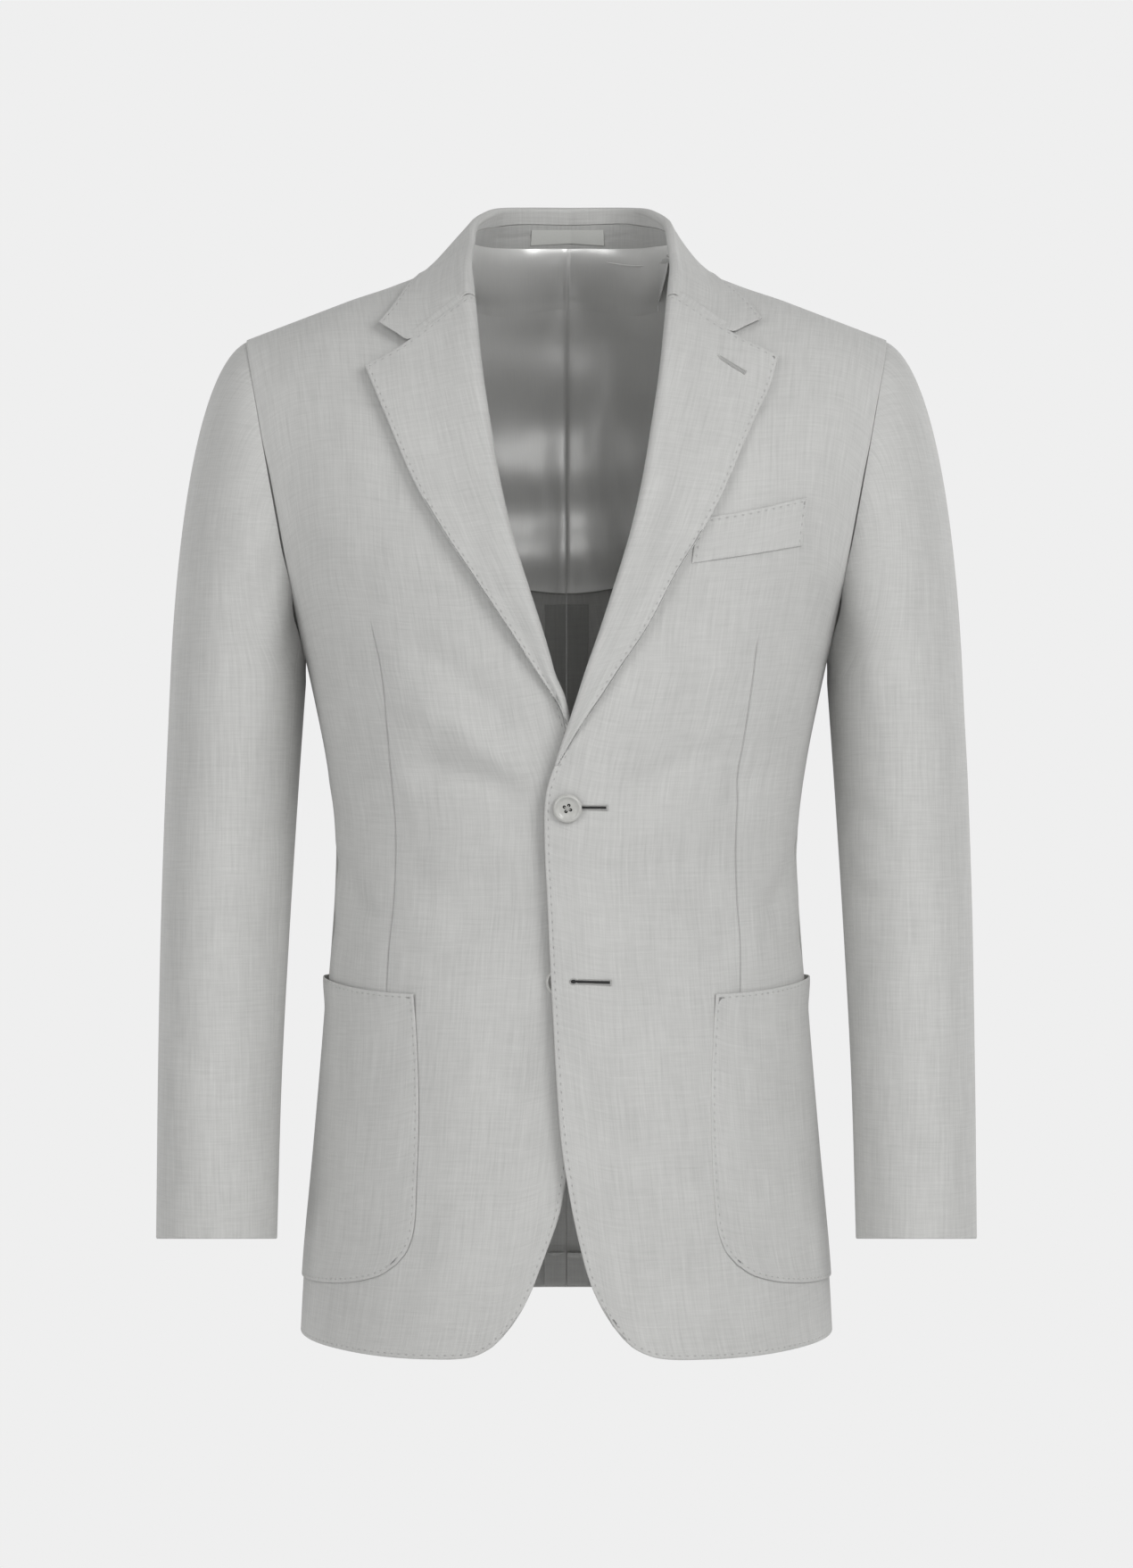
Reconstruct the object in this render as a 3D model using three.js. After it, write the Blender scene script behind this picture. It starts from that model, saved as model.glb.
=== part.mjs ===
// A light-grey two-button suit jacket, filled out as if it were worn, with nobody in it.
// Frame: the origin is the centre of the neck base; +x is the wearer's left, the front faces -y,
// +z is up. Millimetres. The hem hangs 736 below the origin.
import * as THREE from 'three';

// ---- cloth ----
const CLOTH = 2; // a cloth wall
const LINING = 1; // the lining and the label
const SEAM_GAP = 0.3; // between two pieces at a seam
const PATCH_LIFT = 1.2; // air under what is sewn flat on a panel
const LINING_DROP = 3.2; // from a panel's outer face to the lining's outer face

// ---- the body ----
const CHEST_Z = -275; // the line through both armpits
const ARMHOLE_RISE = 218; // from that line up to the shoulder point
const SHOULDER_X = 218;
const SHOULDER_Z = -57;
const SHOULDER_SLOPE = 0.38;
const NECK_TOP = 41; // the shoulder line's height, carried on to the middle of the neck
const NECK_REACH = 95; // how far out it starts to lift towards that
const SECTION_POWER = 2.4; // how square a level section through the body is
const LEAN = 3; // the collar and lapels sit this far to the wearer's left
const LEAN_TOP_Z = -250;
const LEAN_BOTTOM_Z = -345;

// Level sections below the armpits: half width at the sides, depth at the centre front and back.
const TRUNK = [
  { z: -740, half: 182, front: 139, back: 126 },
  { z: -680, half: 178.5, front: 137, back: 122 },
  { z: -610, half: 172, front: 132, back: 115 },
  { z: -540, half: 166, front: 126, back: 106 },
  { z: -480, half: 161.5, front: 121, back: 98 },
  { z: -425, half: 158, front: 119, back: 94 },
  { z: -384, half: 158.5, front: 122, back: 97 },
  { z: -340, half: 164.5, front: 127, back: 104 },
  { z: -300, half: 172.5, front: 129, back: 113 },
  { z: -275, half: 178, front: 129, back: 118 },
];

// Above them, by share of the height to the shoulder line. The half widths run past the armholes.
const YOKE = [
  { v: 0, halfFront: 178, halfBack: 178, front: 129, back: 118, armhole: 178 },
  { v: 0.15, halfFront: 190, halfBack: 198, front: 130, back: 121, armhole: 184 },
  { v: 0.3, halfFront: 208, halfBack: 224, front: 129, back: 122, armhole: 190 },
  { v: 0.5, halfFront: 230, halfBack: 258, front: 126, back: 122, armhole: 198 },
  { v: 0.75, halfFront: 250, halfBack: 290, front: 122, back: 120, armhole: 208 },
  { v: 1, halfFront: 262, halfBack: 310, front: 118, back: 118, armhole: 218 },
];
const FRONT_ROUND = 2.5; // how late the front turns over into the shoulder
const BACK_ROUND_SIDE = 2.9;
const BACK_ROUND_CENTRE = 6; // the middle of the back stays upright to the neck
const BACK_ROUND_REACH = 120;

// ---- outlines, as seen from the front: x outwards from the middle, z up ----
// The front edge from its rounded hem corner up to the bottom of the neck opening, then the roll line.
const FRONT_EDGE = [
  { z: -713, x: 30 },
  { z: -703, x: 23.5 },
  { z: -687, x: 16 },
  { z: -667, x: 10 },
  { z: -635, x: 3 },
  { z: -589, x: -4 },
  { z: -510, x: -9 },
  { z: -447, x: -12 },
  { z: -385, x: -14.5 },
  { z: -363, x: -13 },
  { z: -342, x: -6.5 },
  { z: -314, x: 2 },
  { z: -278, x: 12 },
  { z: -231, x: 27 },
  { z: -195, x: 38 },
  { z: -160, x: 46 },
  { z: -124, x: 52 },
  { z: -87, x: 57.5 },
  { z: -50, x: 61.5 },
  { z: -10, x: 65.5 },
  { z: 6, x: 68 },
];
const EDGE_CORNER_Z = -713;
const OPENING_Z = -314; // the bottom of the neck opening

// The front hem, from that corner round to the side.
const FRONT_HEM = [
  { u: 0, x: 30, z: -713 },
  { u: 0.02, x: 36, z: -721 },
  { u: 0.05, x: 45, z: -729 },
  { u: 0.1, x: 60, z: -735 },
  { u: 0.23, x: 90, z: -737 },
  { u: 0.38, x: 123, z: -737 },
  { u: 0.6, x: 157, z: -735 },
  { u: 1, x: 181.9, z: -731 },
];
const HEM_SIDE_Z = -731;
const HEM_BACK_Z = -716;

// The lapel's outer edge, with the height on the roll line that it folds from.
const LAPEL_EDGE = [
  { w: 0, x: 3.5, z: -332, roll: -326 },
  { w: 0.14, x: 19, z: -304, roll: -302 },
  { w: 0.28, x: 43, z: -267, roll: -268 },
  { w: 0.42, x: 68, z: -228, roll: -230 },
  { w: 0.56, x: 92, z: -187, roll: -188 },
  { w: 0.7, x: 107, z: -151, roll: -146 },
  { w: 0.85, x: 123, z: -115, roll: -96 },
  { w: 1, x: 138, z: -76, roll: -38 },
];
const LAPEL_TIP_DROP = 5; // the right lapel's point hangs lower

// The seam between lapel and collar, then the lapel's free top edge out to its point.
const GORGE = [
  { u: 0, x: 63, z: -38 },
  { u: 0.15, x: 73, z: -40 },
  { u: 0.3, x: 84, z: -46 },
  { u: 0.45, x: 95, z: -58 },
  { u: 0.6, x: 106, z: -62 },
  { u: 1, x: 138, z: -76 },
];
const COLLAR_END = [
  { u: 0, x: 63, z: -35.5 },
  { u: 0.25, x: 73, z: -37.5 },
  { u: 0.45, x: 84, z: -43 },
  { u: 0.62, x: 95, z: -55 },
  { u: 0.78, x: 107, z: -58.5 },
  { u: 1, x: 127, z: -48 },
];
const LAPEL_HEIGHT = 6.8; // the outer face of the lapel's edge above the front
const ROLL_HEIGHT = 8; // the same at the fold
const ROLL_CREST = (ROLL_HEIGHT - CLOTH) / 2; // the crest of the fold above the front
const LOW_LAPEL_HEIGHT = 3.6; // both at the lapel's lower end
const LOW_ROLL_HEIGHT = 3.8;
const ROLL_LOW_Z = -324; // the fold grows from here
const ROLL_FULL_Z = -234; // up to here
const LAPEL_END_Z = -330;
const STEP_BACK = 40; // below the lapel, the front's edge runs out to its full width over this height
const FOLD_GAP = 0.6; // between the fold and the front's own edge

// The collar's fold line, from the middle of the back round to the front of the neck.
const COLLAR_CREST = [
  { x: 0, y: 74, z: 45 },
  { x: 30, y: 70, z: 45 },
  { x: 50, y: 56, z: 43.5 },
  { x: 61, y: 32, z: 37.5 },
  { x: 64.5, y: 8, z: 27 },
  { x: 65.5, y: -16, z: 11 },
];
const COLLAR_ON_ROLL = [-12, -24, -36]; // where it then follows the roll line
// The collar's outer edge: behind the shoulder line, then in front of it.
const COLLAR_EDGE_BACK = [
  { x: 0, z: 2 },
  { x: 30, z: 0 },
  { x: 60, z: -6 },
  { x: 85, z: -14 },
  { x: 98, z: -12.5 },
];
const COLLAR_EDGE_FRONT = [
  { x: 108, z: -17, height: 3.6 },
  { x: 115, z: -26, height: 4.2 },
  { x: 121, z: -36, height: 5.4 },
  { x: 127, z: -48, height: 6.8 },
];
const COLLAR_RADIUS = 4;
const COLLAR_HEIGHT = 6.8; // its front ends above the fronts
const COLLAR_LOW = 3.6; // its edge above the shoulders and back

const NECK_SEAM_X = [0, 30, 50, 63];
// Where the stand's foot runs on, in front of the shoulder seam.
const STAND_FRONT = [
  { x: 71, y: 8, z: 4 },
  { x: 72, y: -16, z: 1 },
];
const STAND_GAP = 1.4; // between the stand's foot and the backs
const STAND_BELLY = 3;

// The neck seam, an ellipse seen from above.
const NECK_HALF = 70;
const NECK_BACK = 79;

// ---- what is sewn on ----
// A patch pocket's front edge, from its rounded corner up.
const POCKET_INNER = [
  { w: 0, x: 112, z: -676 },
  { w: 0.06, x: 104, z: -666 },
  { w: 0.14, x: 98.5, z: -649 },
  { w: 0.35, x: 95.5, z: -606 },
  { w: 0.65, x: 95, z: -560 },
  { w: 1, x: 98, z: -498 },
];
// Its bottom edge, by degrees round from the centre front.
const POCKET_BOTTOM = [
  { u: 0, angle: 35, z: -676 },
  { u: 0.07, angle: 40, z: -684 },
  { u: 0.2, angle: 50, z: -690 },
  { u: 0.4, angle: 66, z: -693 },
  { u: 0.7, angle: 90, z: -693 },
  { u: 1, angle: 114, z: -691 },
];
const POCKET_TOP_SIDE_Z = -490;
const POCKET_TOP_BEND = 0.75; // the share of its top edge that slopes
const POCKET_SHIFT = 2.5; // the right pocket sits this far further round
// The chest welt, from under the lapel out towards the armhole.
const WELT = [
  { u: 0, x: 86, top: -186, bottom: -215 },
  { u: 1, x: 165, top: -168, bottom: -200 },
];
const WELT_SLANT = 4; // its ends lean outwards to the top by this
const BUTTON_RADIUS = 10;
const BUTTON_THICK = 3.4;
const BUTTON_BEVEL = 0.6;
const BUTTON_HOLE_RADIUS = 0.9;
const BUTTON_HOLE_PITCH = 3.2;
const BUTTON_SHANK = 0.6; // air behind a button
const TOP_BUTTON = { x: 0.6, z: -374 };
const LOWER_BUTTON = { x: -5.4, z: -489 };
const OVERLAP_LIFT = 7.4; // the left front lies this far over the right front
const OVERLAP_IN_X = 12; // in full up to here from the middle
const OVERLAP_OUT_X = 118; // and fading out to here
const OVERLAP_TOP_Z = -150;
const LABEL_SPAN = 0.112; // half the label's width, as a share of the way round to the collar's front
const LABEL_SHIFT = 0.012; // it sits this far to the wearer's right of the collar's middle
const LABEL_LIFT = 1.7;
const LABEL_THICK = 1;

// ---- sleeves ----
const SLEEVE_RINGS = [
  { z: -290, x: 225, y: 8, halfWidth: 46.3, halfDepth: 68, tilt: 0 },
  { z: -365, x: 229, y: 4, halfWidth: 45.3, halfDepth: 62, tilt: 1 },
  { z: -460, x: 232.5, y: -12, halfWidth: 43.7, halfDepth: 56, tilt: 3 },
  { z: -555, x: 234.5, y: -32, halfWidth: 41.8, halfDepth: 51, tilt: 5 },
  { z: -664.4, x: 235, y: -55.8, halfWidth: 40.5, halfDepth: 46.8, tilt: 5.6 },
];
const SLEEVE_OUT = 0.8; // from the armhole's edge out to the sleeve
const FRONT_SLEEVE_SEAM = 152; // degrees round from the outside of the arm, by way of the front
const BACK_SLEEVE_SEAM = 242;
const SLEEVE_SEAM_TRIM = 0.2;
// The way the cloth leaves the armhole at the armpit and at the shoulder, and turns forward between.
const LEAVE_UNDER = { x: 0.15, z: -1 };
const LEAVE_OVER = { x: 0.91, z: -0.42 };
const LEAVE_FORWARD = 0.35;
const HEAD_FULLNESS = 0.5; // how far the sleeve head stands out before it falls
const HEAD_FALL = 1.05;
const HEAD_DRIFT = 0.04; // outwards, where the head runs into the arm

const GREY = 0xbbbcb9;

// ======== small helpers ========
const lerp = (a, b, t) => a + (b - a) * t;
const radians = (deg) => (deg * Math.PI) / 180;
function smoothstep(from, to, value) {
  const t = Math.min(1, Math.max(0, (value - from) / (to - from)));
  return t * t * (3 - 2 * t);
}
function steps(count, from = 0, to = 1) {
  return Array.from({ length: count + 1 }, (_, i) => lerp(from, to, i / count));
}

/** A table's other columns as smooth functions of its key column, level past its ends. */
function smooth(rows, key) {
  const columns = Object.keys(rows[0]).filter((name) => name !== key);
  const at = rows.map((row) => row[key]);
  const slope = (name, i) => {
    const a = Math.max(0, i - 1);
    const b = Math.min(rows.length - 1, i + 1);
    return (rows[b][name] - rows[a][name]) / (at[b] - at[a]);
  };
  return (value) => {
    const k = Math.min(at[at.length - 1], Math.max(at[0], value));
    let i = 0;
    while (i < at.length - 2 && k > at[i + 1]) i += 1;
    const span = at[i + 1] - at[i];
    const t = (k - at[i]) / span;
    const found = {};
    for (const name of columns) {
      const rise = t * t * (3 - 2 * t);
      found[name] = lerp(rows[i][name], rows[i + 1][name], rise)
        + span * t * (1 - t) * ((1 - t) * slope(name, i) - t * slope(name, i + 1));
    }
    return found;
  };
}

const trunkAt = smooth(TRUNK, 'z');
const yokeAt = smooth(YOKE, 'v');
const edgeAt = smooth(FRONT_EDGE, 'z');
const ringAt = smooth([...SLEEVE_RINGS].reverse(), 'z');

// ======== the body's form ========
/** The height of the shoulder line. */
function ridge(x) {
  const side = Math.abs(x);
  const line = (at) => SHOULDER_Z + (SHOULDER_X - at) * SHOULDER_SLOPE;
  if (side > NECK_REACH) return line(side);
  const t = side / NECK_REACH;
  return lerp(NECK_TOP, line(NECK_REACH), t * t * (3 - 2 * t))
    + t * t * (1 - t) * SHOULDER_SLOPE * NECK_REACH;
}

/**
 * A point on the jacket's outer face. angle runs from the centre front towards the wearer's left;
 * v is 0 at the armpits, 1 on the shoulder line and negative below.
 */
function body(angle, v) {
  const s = Math.sin(angle);
  const c = Math.cos(angle);
  const isFront = c >= 0;
  const level = CHEST_Z + v * ARMHOLE_RISE;
  const row = v < 0 ? trunkAt(level) : yokeAt(v);
  const yokeHalf = isFront ? row.halfFront : row.halfBack;
  const half = v < 0 ? row.half : yokeHalf;
  const x = Math.sign(s) * half * Math.abs(s) ** (2 / SECTION_POWER);
  const z = v < 0 ? level : CHEST_Z + v * (ridge(x) - CHEST_Z);
  const backRound = lerp(BACK_ROUND_CENTRE, BACK_ROUND_SIDE, smoothstep(0, BACK_ROUND_REACH, Math.abs(x)));
  const turn = v < 0 ? 1 : Math.sqrt(Math.max(0, 1 - v ** (isFront ? FRONT_ROUND : backRound)));
  const depth = isFront ? row.front : row.back;
  return new THREE.Vector3(x, -depth * c * turn, z);
}

/** The outward direction there, from two short steps. */
function outward(angle, v) {
  const step = 1e-3;
  const level = Math.min(v, 1 - 2e-4);
  const near = Math.min(step, (1 - level) / 2);
  const across = body(angle + step, level).sub(body(angle - step, level));
  const up = body(angle, level + near).sub(body(angle, level - near));
  return across.cross(up).normalize();
}

/** A point that stands off the body's outer face. */
function place([angle, v], height) {
  return body(angle, v).addScaledVector(outward(angle, v), height);
}

/** The body's coordinates of a point seen from the front (or from behind). */
function seen(x, z, fromBehind = false) {
  const v = z < CHEST_Z ? (z - CHEST_Z) / ARMHOLE_RISE : (z - CHEST_Z) / (ridge(x) - CHEST_Z);
  const yoke = yokeAt(Math.max(0, v));
  const half = v < 0 ? trunkAt(z).half : fromBehind ? yoke.halfBack : yoke.halfFront;
  const turn = Math.asin(Math.min(1, Math.abs(x / half) ** (SECTION_POWER / 2)));
  return [Math.sign(x || 1) * (fromBehind ? Math.PI - turn : turn), Math.min(1, v)];
}

/** The armhole: turn is 0 at the shoulder, 180 degrees at the armpit, in front up to there. */
function armhole(turn) {
  const v = (1 + Math.cos(turn)) / 2;
  const row = yokeAt(v);
  const inFront = turn <= Math.PI;
  const half = inFront ? row.halfFront : row.halfBack;
  const angle = Math.asin(Math.min(1, (row.armhole / half) ** (SECTION_POWER / 2)));
  return [inFront ? angle : Math.PI - angle, v];
}

/** How far the left front is lifted to lie over the right one. */
function overlap(angle, v) {
  const { x, z } = body(angle, v);
  const nearEdge = smoothstep(OVERLAP_OUT_X, OVERLAP_IN_X, x);
  const below = smoothstep(OVERLAP_TOP_Z, OPENING_Z, z);
  return OVERLAP_LIFT * nearEdge * below;
}

// ======== patches and walls ========
const EVEN = 1e-6; // diagonals this close count as the same
/** A four-sided patch between border lines, each a function from 0..1 to a list of coordinates. */
function patch(inner, outer, bottom, top) {
  return (u, w) => inner(w).map((_, k) => {
    const across = lerp(inner(w)[k], outer(w)[k], u) + lerp(bottom(u)[k], top(u)[k], w);
    return across - lerp(lerp(bottom(0)[k], bottom(1)[k], u), lerp(top(0)[k], top(1)[k], u), w);
  });
}

/** A closed wall between two grids of points; each quad is cut along the outer one's shorter diagonal. */
function wallBetween(outer, inner) {
  const rows = outer.length;
  const columns = outer[0].length;
  const points = [...outer.flat(), ...inner.flat()];
  const index = (i, j, layer) => layer * rows * columns + i * columns + j;
  const faces = [];
  const quad = (a, b, c, d) => faces.push(a, b, c, a, c, d);
  const cell = (i, j, layer, straight) => {
    const [a, b] = [index(i, j, layer), index(i, j + 1, layer)];
    const [c, d] = [index(i + 1, j + 1, layer), index(i + 1, j, layer)];
    const ring = straight ? [a, b, c, d] : [b, c, d, a];
    quad(...(layer === 0 ? ring : [ring[0], ring[3], ring[2], ring[1]]));
  };
  for (let i = 0; i < rows - 1; i += 1) {
    for (let j = 0; j < columns - 1; j += 1) {
      const straight = outer[i][j].distanceTo(outer[i + 1][j + 1])
        < outer[i][j + 1].distanceTo(outer[i + 1][j]) + EVEN;
      cell(i, j, 0, straight);
      cell(i, j, 1, straight);
    }
  }
  const rim = [];
  for (let j = 0; j < columns - 1; j += 1) rim.push([0, j]);
  for (let i = 0; i < rows - 1; i += 1) rim.push([i, columns - 1]);
  for (let j = columns - 1; j > 0; j -= 1) rim.push([rows - 1, j]);
  for (let i = rows - 1; i > 0; i -= 1) rim.push([i, 0]);
  rim.forEach(([i, j], k) => {
    const [m, n] = rim[(k + 1) % rim.length];
    quad(index(i, j, 0), index(i, j, 1), index(m, n, 1), index(m, n, 0));
  });
  return closedGeometry(points, faces);
}

/** An indexed geometry, turned right side out. */
function closedGeometry(points, faces) {
  let volume = 0;
  for (let i = 0; i < faces.length; i += 3) {
    const [a, b, c] = [points[faces[i]], points[faces[i + 1]], points[faces[i + 2]]];
    volume += a.dot(b.clone().cross(c));
  }
  const turned = volume > 0 ? faces : [...faces].reverse();
  const geometry = new THREE.BufferGeometry();
  geometry.setAttribute('position', new THREE.Float32BufferAttribute(points.flatMap((p) => p.toArray()), 3));
  geometry.setIndex(turned);
  geometry.computeVertexNormals();
  return geometry;
}

/** A wall on the body: coords(u, w) are its places, height its outer face above the body. */
function wallOnBody(coords, columns, rows, height, thickness, side = 1) {
  const layer = (drop) => rows.map((w) => columns.map((u) => {
    const at = coords(u, w);
    const point = place(at, height(at, u, w) - drop);
    point.x *= side;
    return point;
  }));
  return wallBetween(layer(0), layer(thickness));
}

/** A wall along any surface(u, w), thickened against its own normals. */
function wallOn(surface, columns, rows, thickness, flip = 1) {
  const step = 1e-3;
  const face = rows.map((w) => columns.map((u) => surface(u, w)));
  const back = rows.map((w, i) => columns.map((u, j) => {
    const u0 = Math.max(columns[0], u - step);
    const u1 = Math.min(columns[columns.length - 1], u + step);
    const w0 = Math.max(rows[0], w - step);
    const w1 = Math.min(rows[rows.length - 1], w + step);
    const across = surface(u1, w).sub(surface(u0, w));
    const along = surface(u, w1).sub(surface(u, w0));
    return face[i][j].clone().addScaledVector(across.cross(along).normalize(), -flip * thickness);
  }));
  return wallBetween(face, back);
}

const group = new THREE.Group();
group.name = 'suit_jacket';
function add(name, geometry, color = GREY, roughness = 0.9) {
  const material = new THREE.MeshStandardMaterial({ color, roughness, metalness: 0 });
  const mesh = new THREE.Mesh(geometry, material);
  mesh.name = name;
  group.add(mesh);
}

// ======== the panels ========
const CHEST_ROW = 0.6; // the share of a panel's rows that lies below the armpits
const TRUNK_ROWS = [0, 0.04, 0.1, 0.18, 0.3, 0.42, 0.54, 0.66, 0.78, 0.89, 1];
const LOWER_ROWS = TRUNK_ROWS.map((w) => w * CHEST_ROW);
const YOKE_ROWS = [0.09, 0.19, 0.31, 0.44, 0.57, 0.7, 0.82, 0.92, 1];
const UPPER_ROWS = YOKE_ROWS.map((w) => lerp(CHEST_ROW, 1, w));
const PANEL_ROWS = [...LOWER_ROWS, ...UPPER_ROWS];
const yokeShare = (w) => Math.max(0, (w - CHEST_ROW) / (1 - CHEST_ROW));
const trunkShare = (w) => Math.min(1, w / CHEST_ROW);
const TRIM = SEAM_GAP / 2;
const SEAM_REACH = 150; // about how far the side seams are from the middle
const angleGap = TRIM / SEAM_REACH;
const centreGap = 1.1e-4; // the same at the centre back, where an angle reaches further
const shoulderGap = 1.2e-5; // the share of the height that leaves the gap at the shoulder seam

function alongTable(rows, fromBehind = false) {
  const places = rows.map(({ u, x, z }) => {
    const [angle, v] = seen(x, z, fromBehind);
    return { u, angle, v };
  });
  const at = smooth(places, 'u');
  return (u) => {
    const { angle, v } = at(u);
    return [angle, v];
  };
}

const hemV = (z) => (z - CHEST_Z) / ARMHOLE_RISE;
function hemBehind(angle) {
  const turn = (1 - Math.cos(2 * (angle - Math.PI / 2))) / 2;
  return hemV(lerp(HEM_SIDE_Z, HEM_BACK_Z, turn));
}

/** How far the front edge or roll line is shifted by the collar's lean. */
const lean = (z, side) => side * LEAN * smoothstep(LEAN_BOTTOM_Z, LEAN_TOP_Z, z);
const edgeX = (z, side) => edgeAt(z).x + lean(z, side);
const foldHeight = (z) => lerp(LOW_ROLL_HEIGHT, ROLL_HEIGHT, smoothstep(ROLL_LOW_Z, ROLL_FULL_Z, z));
const foldRadius = (z) => (foldHeight(z) + CLOTH) / 2;

/** A front's edge: past the opening it steps back to leave the fold of the lapel. */
function frontEdgeX(z, side) {
  const fold = (foldRadius(z) + FOLD_GAP) * smoothstep(LAPEL_END_Z - STEP_BACK, LAPEL_END_Z, z);
  return edgeX(z, side) + fold;
}
function frontInner(w, side) {
  if (yokeShare(w) === 0) {
    const z = lerp(EDGE_CORNER_Z, CHEST_Z, trunkShare(w));
    return seen(frontEdgeX(z, side), z);
  }
  const v = Math.min(Math.sin((yokeShare(w) * Math.PI) / 2), 1 - shoulderGap);
  let z = lerp(CHEST_Z, 0, v);
  for (let i = 0; i < 8; i += 1) z = lerp(CHEST_Z, ridge(frontEdgeX(z, side)), v);
  return [seen(frontEdgeX(z, side), z)[0], v];
}
function frontOuter(w) {
  if (yokeShare(w) > 0) {
    const [angle, v] = armhole(Math.PI * (1 - yokeShare(w)));
    return [angle - angleGap, Math.min(v, 1 - shoulderGap)];
  }
  return [Math.PI / 2 - angleGap, lerp(hemV(HEM_SIDE_Z), 0, trunkShare(w))];
}
const frontHem = alongTable(FRONT_HEM);
function frontPanel(side) {
  const inner0 = frontInner(1, side);
  const outer1 = frontOuter(1);
  const hem = (u) => {
    const [angle, v] = frontHem(u);
    return [Math.min(angle, Math.PI / 2 - angleGap), v];
  };
  const top = (u) => [lerp(inner0[0], outer1[0], u), 1 - shoulderGap];
  const coords = patch((w) => frontInner(w, side), frontOuter, hem, top);
  const columns = [0, 0.02, 0.05, 0.12, 0.23, 0.35, 0.48, 0.62, 0.8, 1];
  const height = (at) => (side > 0 ? overlap(...at) : 0);
  return wallOnBody(coords, columns, PANEL_ROWS, height, CLOTH, side);
}

const SIDE_TOP_TURN = radians(215); // where the side body's back seam meets the armhole
const SIDE_SEAM_HEM = radians(124);
const ARMPIT_DROP = 0.002; // the side body stops this share of the armhole's height under the sleeve
function sideSeam(v) {
  const [angle, top] = armhole(SIDE_TOP_TURN);
  return lerp(SIDE_SEAM_HEM, angle, smoothstep(hemBehind(SIDE_SEAM_HEM), top, v));
}
function sidePanel(side) {
  const [topAngle, topV] = armhole(SIDE_TOP_TURN);
  const front = (w) => [Math.PI / 2 + angleGap, lerp(hemV(HEM_SIDE_Z), -ARMPIT_DROP, w)];
  const back = (w) => {
    const v = lerp(hemBehind(SIDE_SEAM_HEM), topV, w);
    return [sideSeam(v) - angleGap, v];
  };
  const hem = (u) => {
    const angle = lerp(Math.PI / 2 + angleGap, SIDE_SEAM_HEM - angleGap, u);
    return [angle, lerp(hemBehind(angle), hemBehind(SIDE_SEAM_HEM), u)];
  };
  const top = (u) => {
    const [angle, v] = armhole(lerp(Math.PI + 1e-6, SIDE_TOP_TURN, u));
    const between = Math.min(Math.max(angle, Math.PI / 2 + angleGap), topAngle - angleGap);
    return [between, v - ARMPIT_DROP * (1 - u)];
  };
  const coords = patch(front, back, hem, top);
  return wallOnBody(coords, steps(4), TRUNK_ROWS, () => 0, CLOTH, side);
}

/** The body's coordinates where the back reaches the neck seam, found by halving. */
function neckPoint(x) {
  const goal = NECK_BACK * Math.sqrt(Math.max(0, 1 - (x / NECK_HALF) ** 2));
  const across = (v) => {
    const turn = Math.asin(Math.abs(x / yokeAt(v).halfBack) ** (SECTION_POWER / 2));
    return Math.PI - Math.sign(x || 1) * turn;
  };
  let low = 0.5;
  let high = 1;
  for (let i = 0; i < 40; i += 1) {
    const v = (low + high) / 2;
    if (body(across(v), v).y > goal) low = v;
    else high = v;
  }
  return [across(low), low];
}
const NECK_COLUMN = 0.36;
function backPanelCoords() {
  const topCentre = neckPoint(0);
  const inner = (w) => {
    const v = yokeShare(w) > 0 ? topCentre[1] * yokeShare(w) : lerp(hemV(HEM_BACK_Z), 0, trunkShare(w));
    return [Math.PI - centreGap, v];
  };
  const outer = (w) => {
    if (yokeShare(w) > 0) {
      const [angle, v] = armhole(lerp(SIDE_TOP_TURN, 2 * Math.PI, yokeShare(w)));
      return [angle + angleGap, Math.min(v, 1 - shoulderGap)];
    }
    const top = armhole(SIDE_TOP_TURN)[1];
    const v = lerp(hemBehind(SIDE_SEAM_HEM), top, trunkShare(w));
    return [sideSeam(v) + angleGap, v];
  };
  const hem = (u) => {
    const angle = lerp(Math.PI - centreGap, SIDE_SEAM_HEM + angleGap, u);
    return [angle, hemBehind(angle)];
  };
  const end = armhole(2 * Math.PI);
  const neck = neckPoint(NECK_HALF - 1e-6);
  const top = (u) => {
    if (u < NECK_COLUMN) {
      const [angle, v] = neckPoint(NECK_HALF * Math.sin((u / NECK_COLUMN) * Math.PI / 2));
      return [Math.min(angle, Math.PI - centreGap), v];
    }
    return [lerp(neck[0], end[0] + angleGap, (u - NECK_COLUMN) / (1 - NECK_COLUMN)), 1 - shoulderGap];
  };
  return patch(inner, outer, hem, top);
}
const BACK_COLUMNS = [...steps(4, 0, NECK_COLUMN), 0.5, 0.66, 0.83, 1];
function backPanel(side) {
  return wallOnBody(backPanelCoords(), BACK_COLUMNS, PANEL_ROWS, () => 0, CLOTH, side);
}

/** The half lining inside the back, from the neck seam down to its hem over the shoulder blades. */
function liningPanel(side) {
  return wallOnBody(backPanelCoords(), BACK_COLUMNS, UPPER_ROWS.slice(1), () => -LINING_DROP, LINING, side);
}

for (const [name, side] of [['left', 1], ['right', -1]]) {
  add(`front_${name}`, frontPanel(side));
  add(`side_${name}`, sidePanel(side));
  add(`back_${name}`, backPanel(side));
  add(`lining_back_${name}`, liningPanel(side), 0x80817e, 0.45);
}

// ======== sleeves ========
/** The armhole point that the sleeve starts from. */
function sleeveStart(turn) {
  return place(armhole(turn), 0).add(new THREE.Vector3(SLEEVE_OUT, 0, 0));
}
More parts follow.
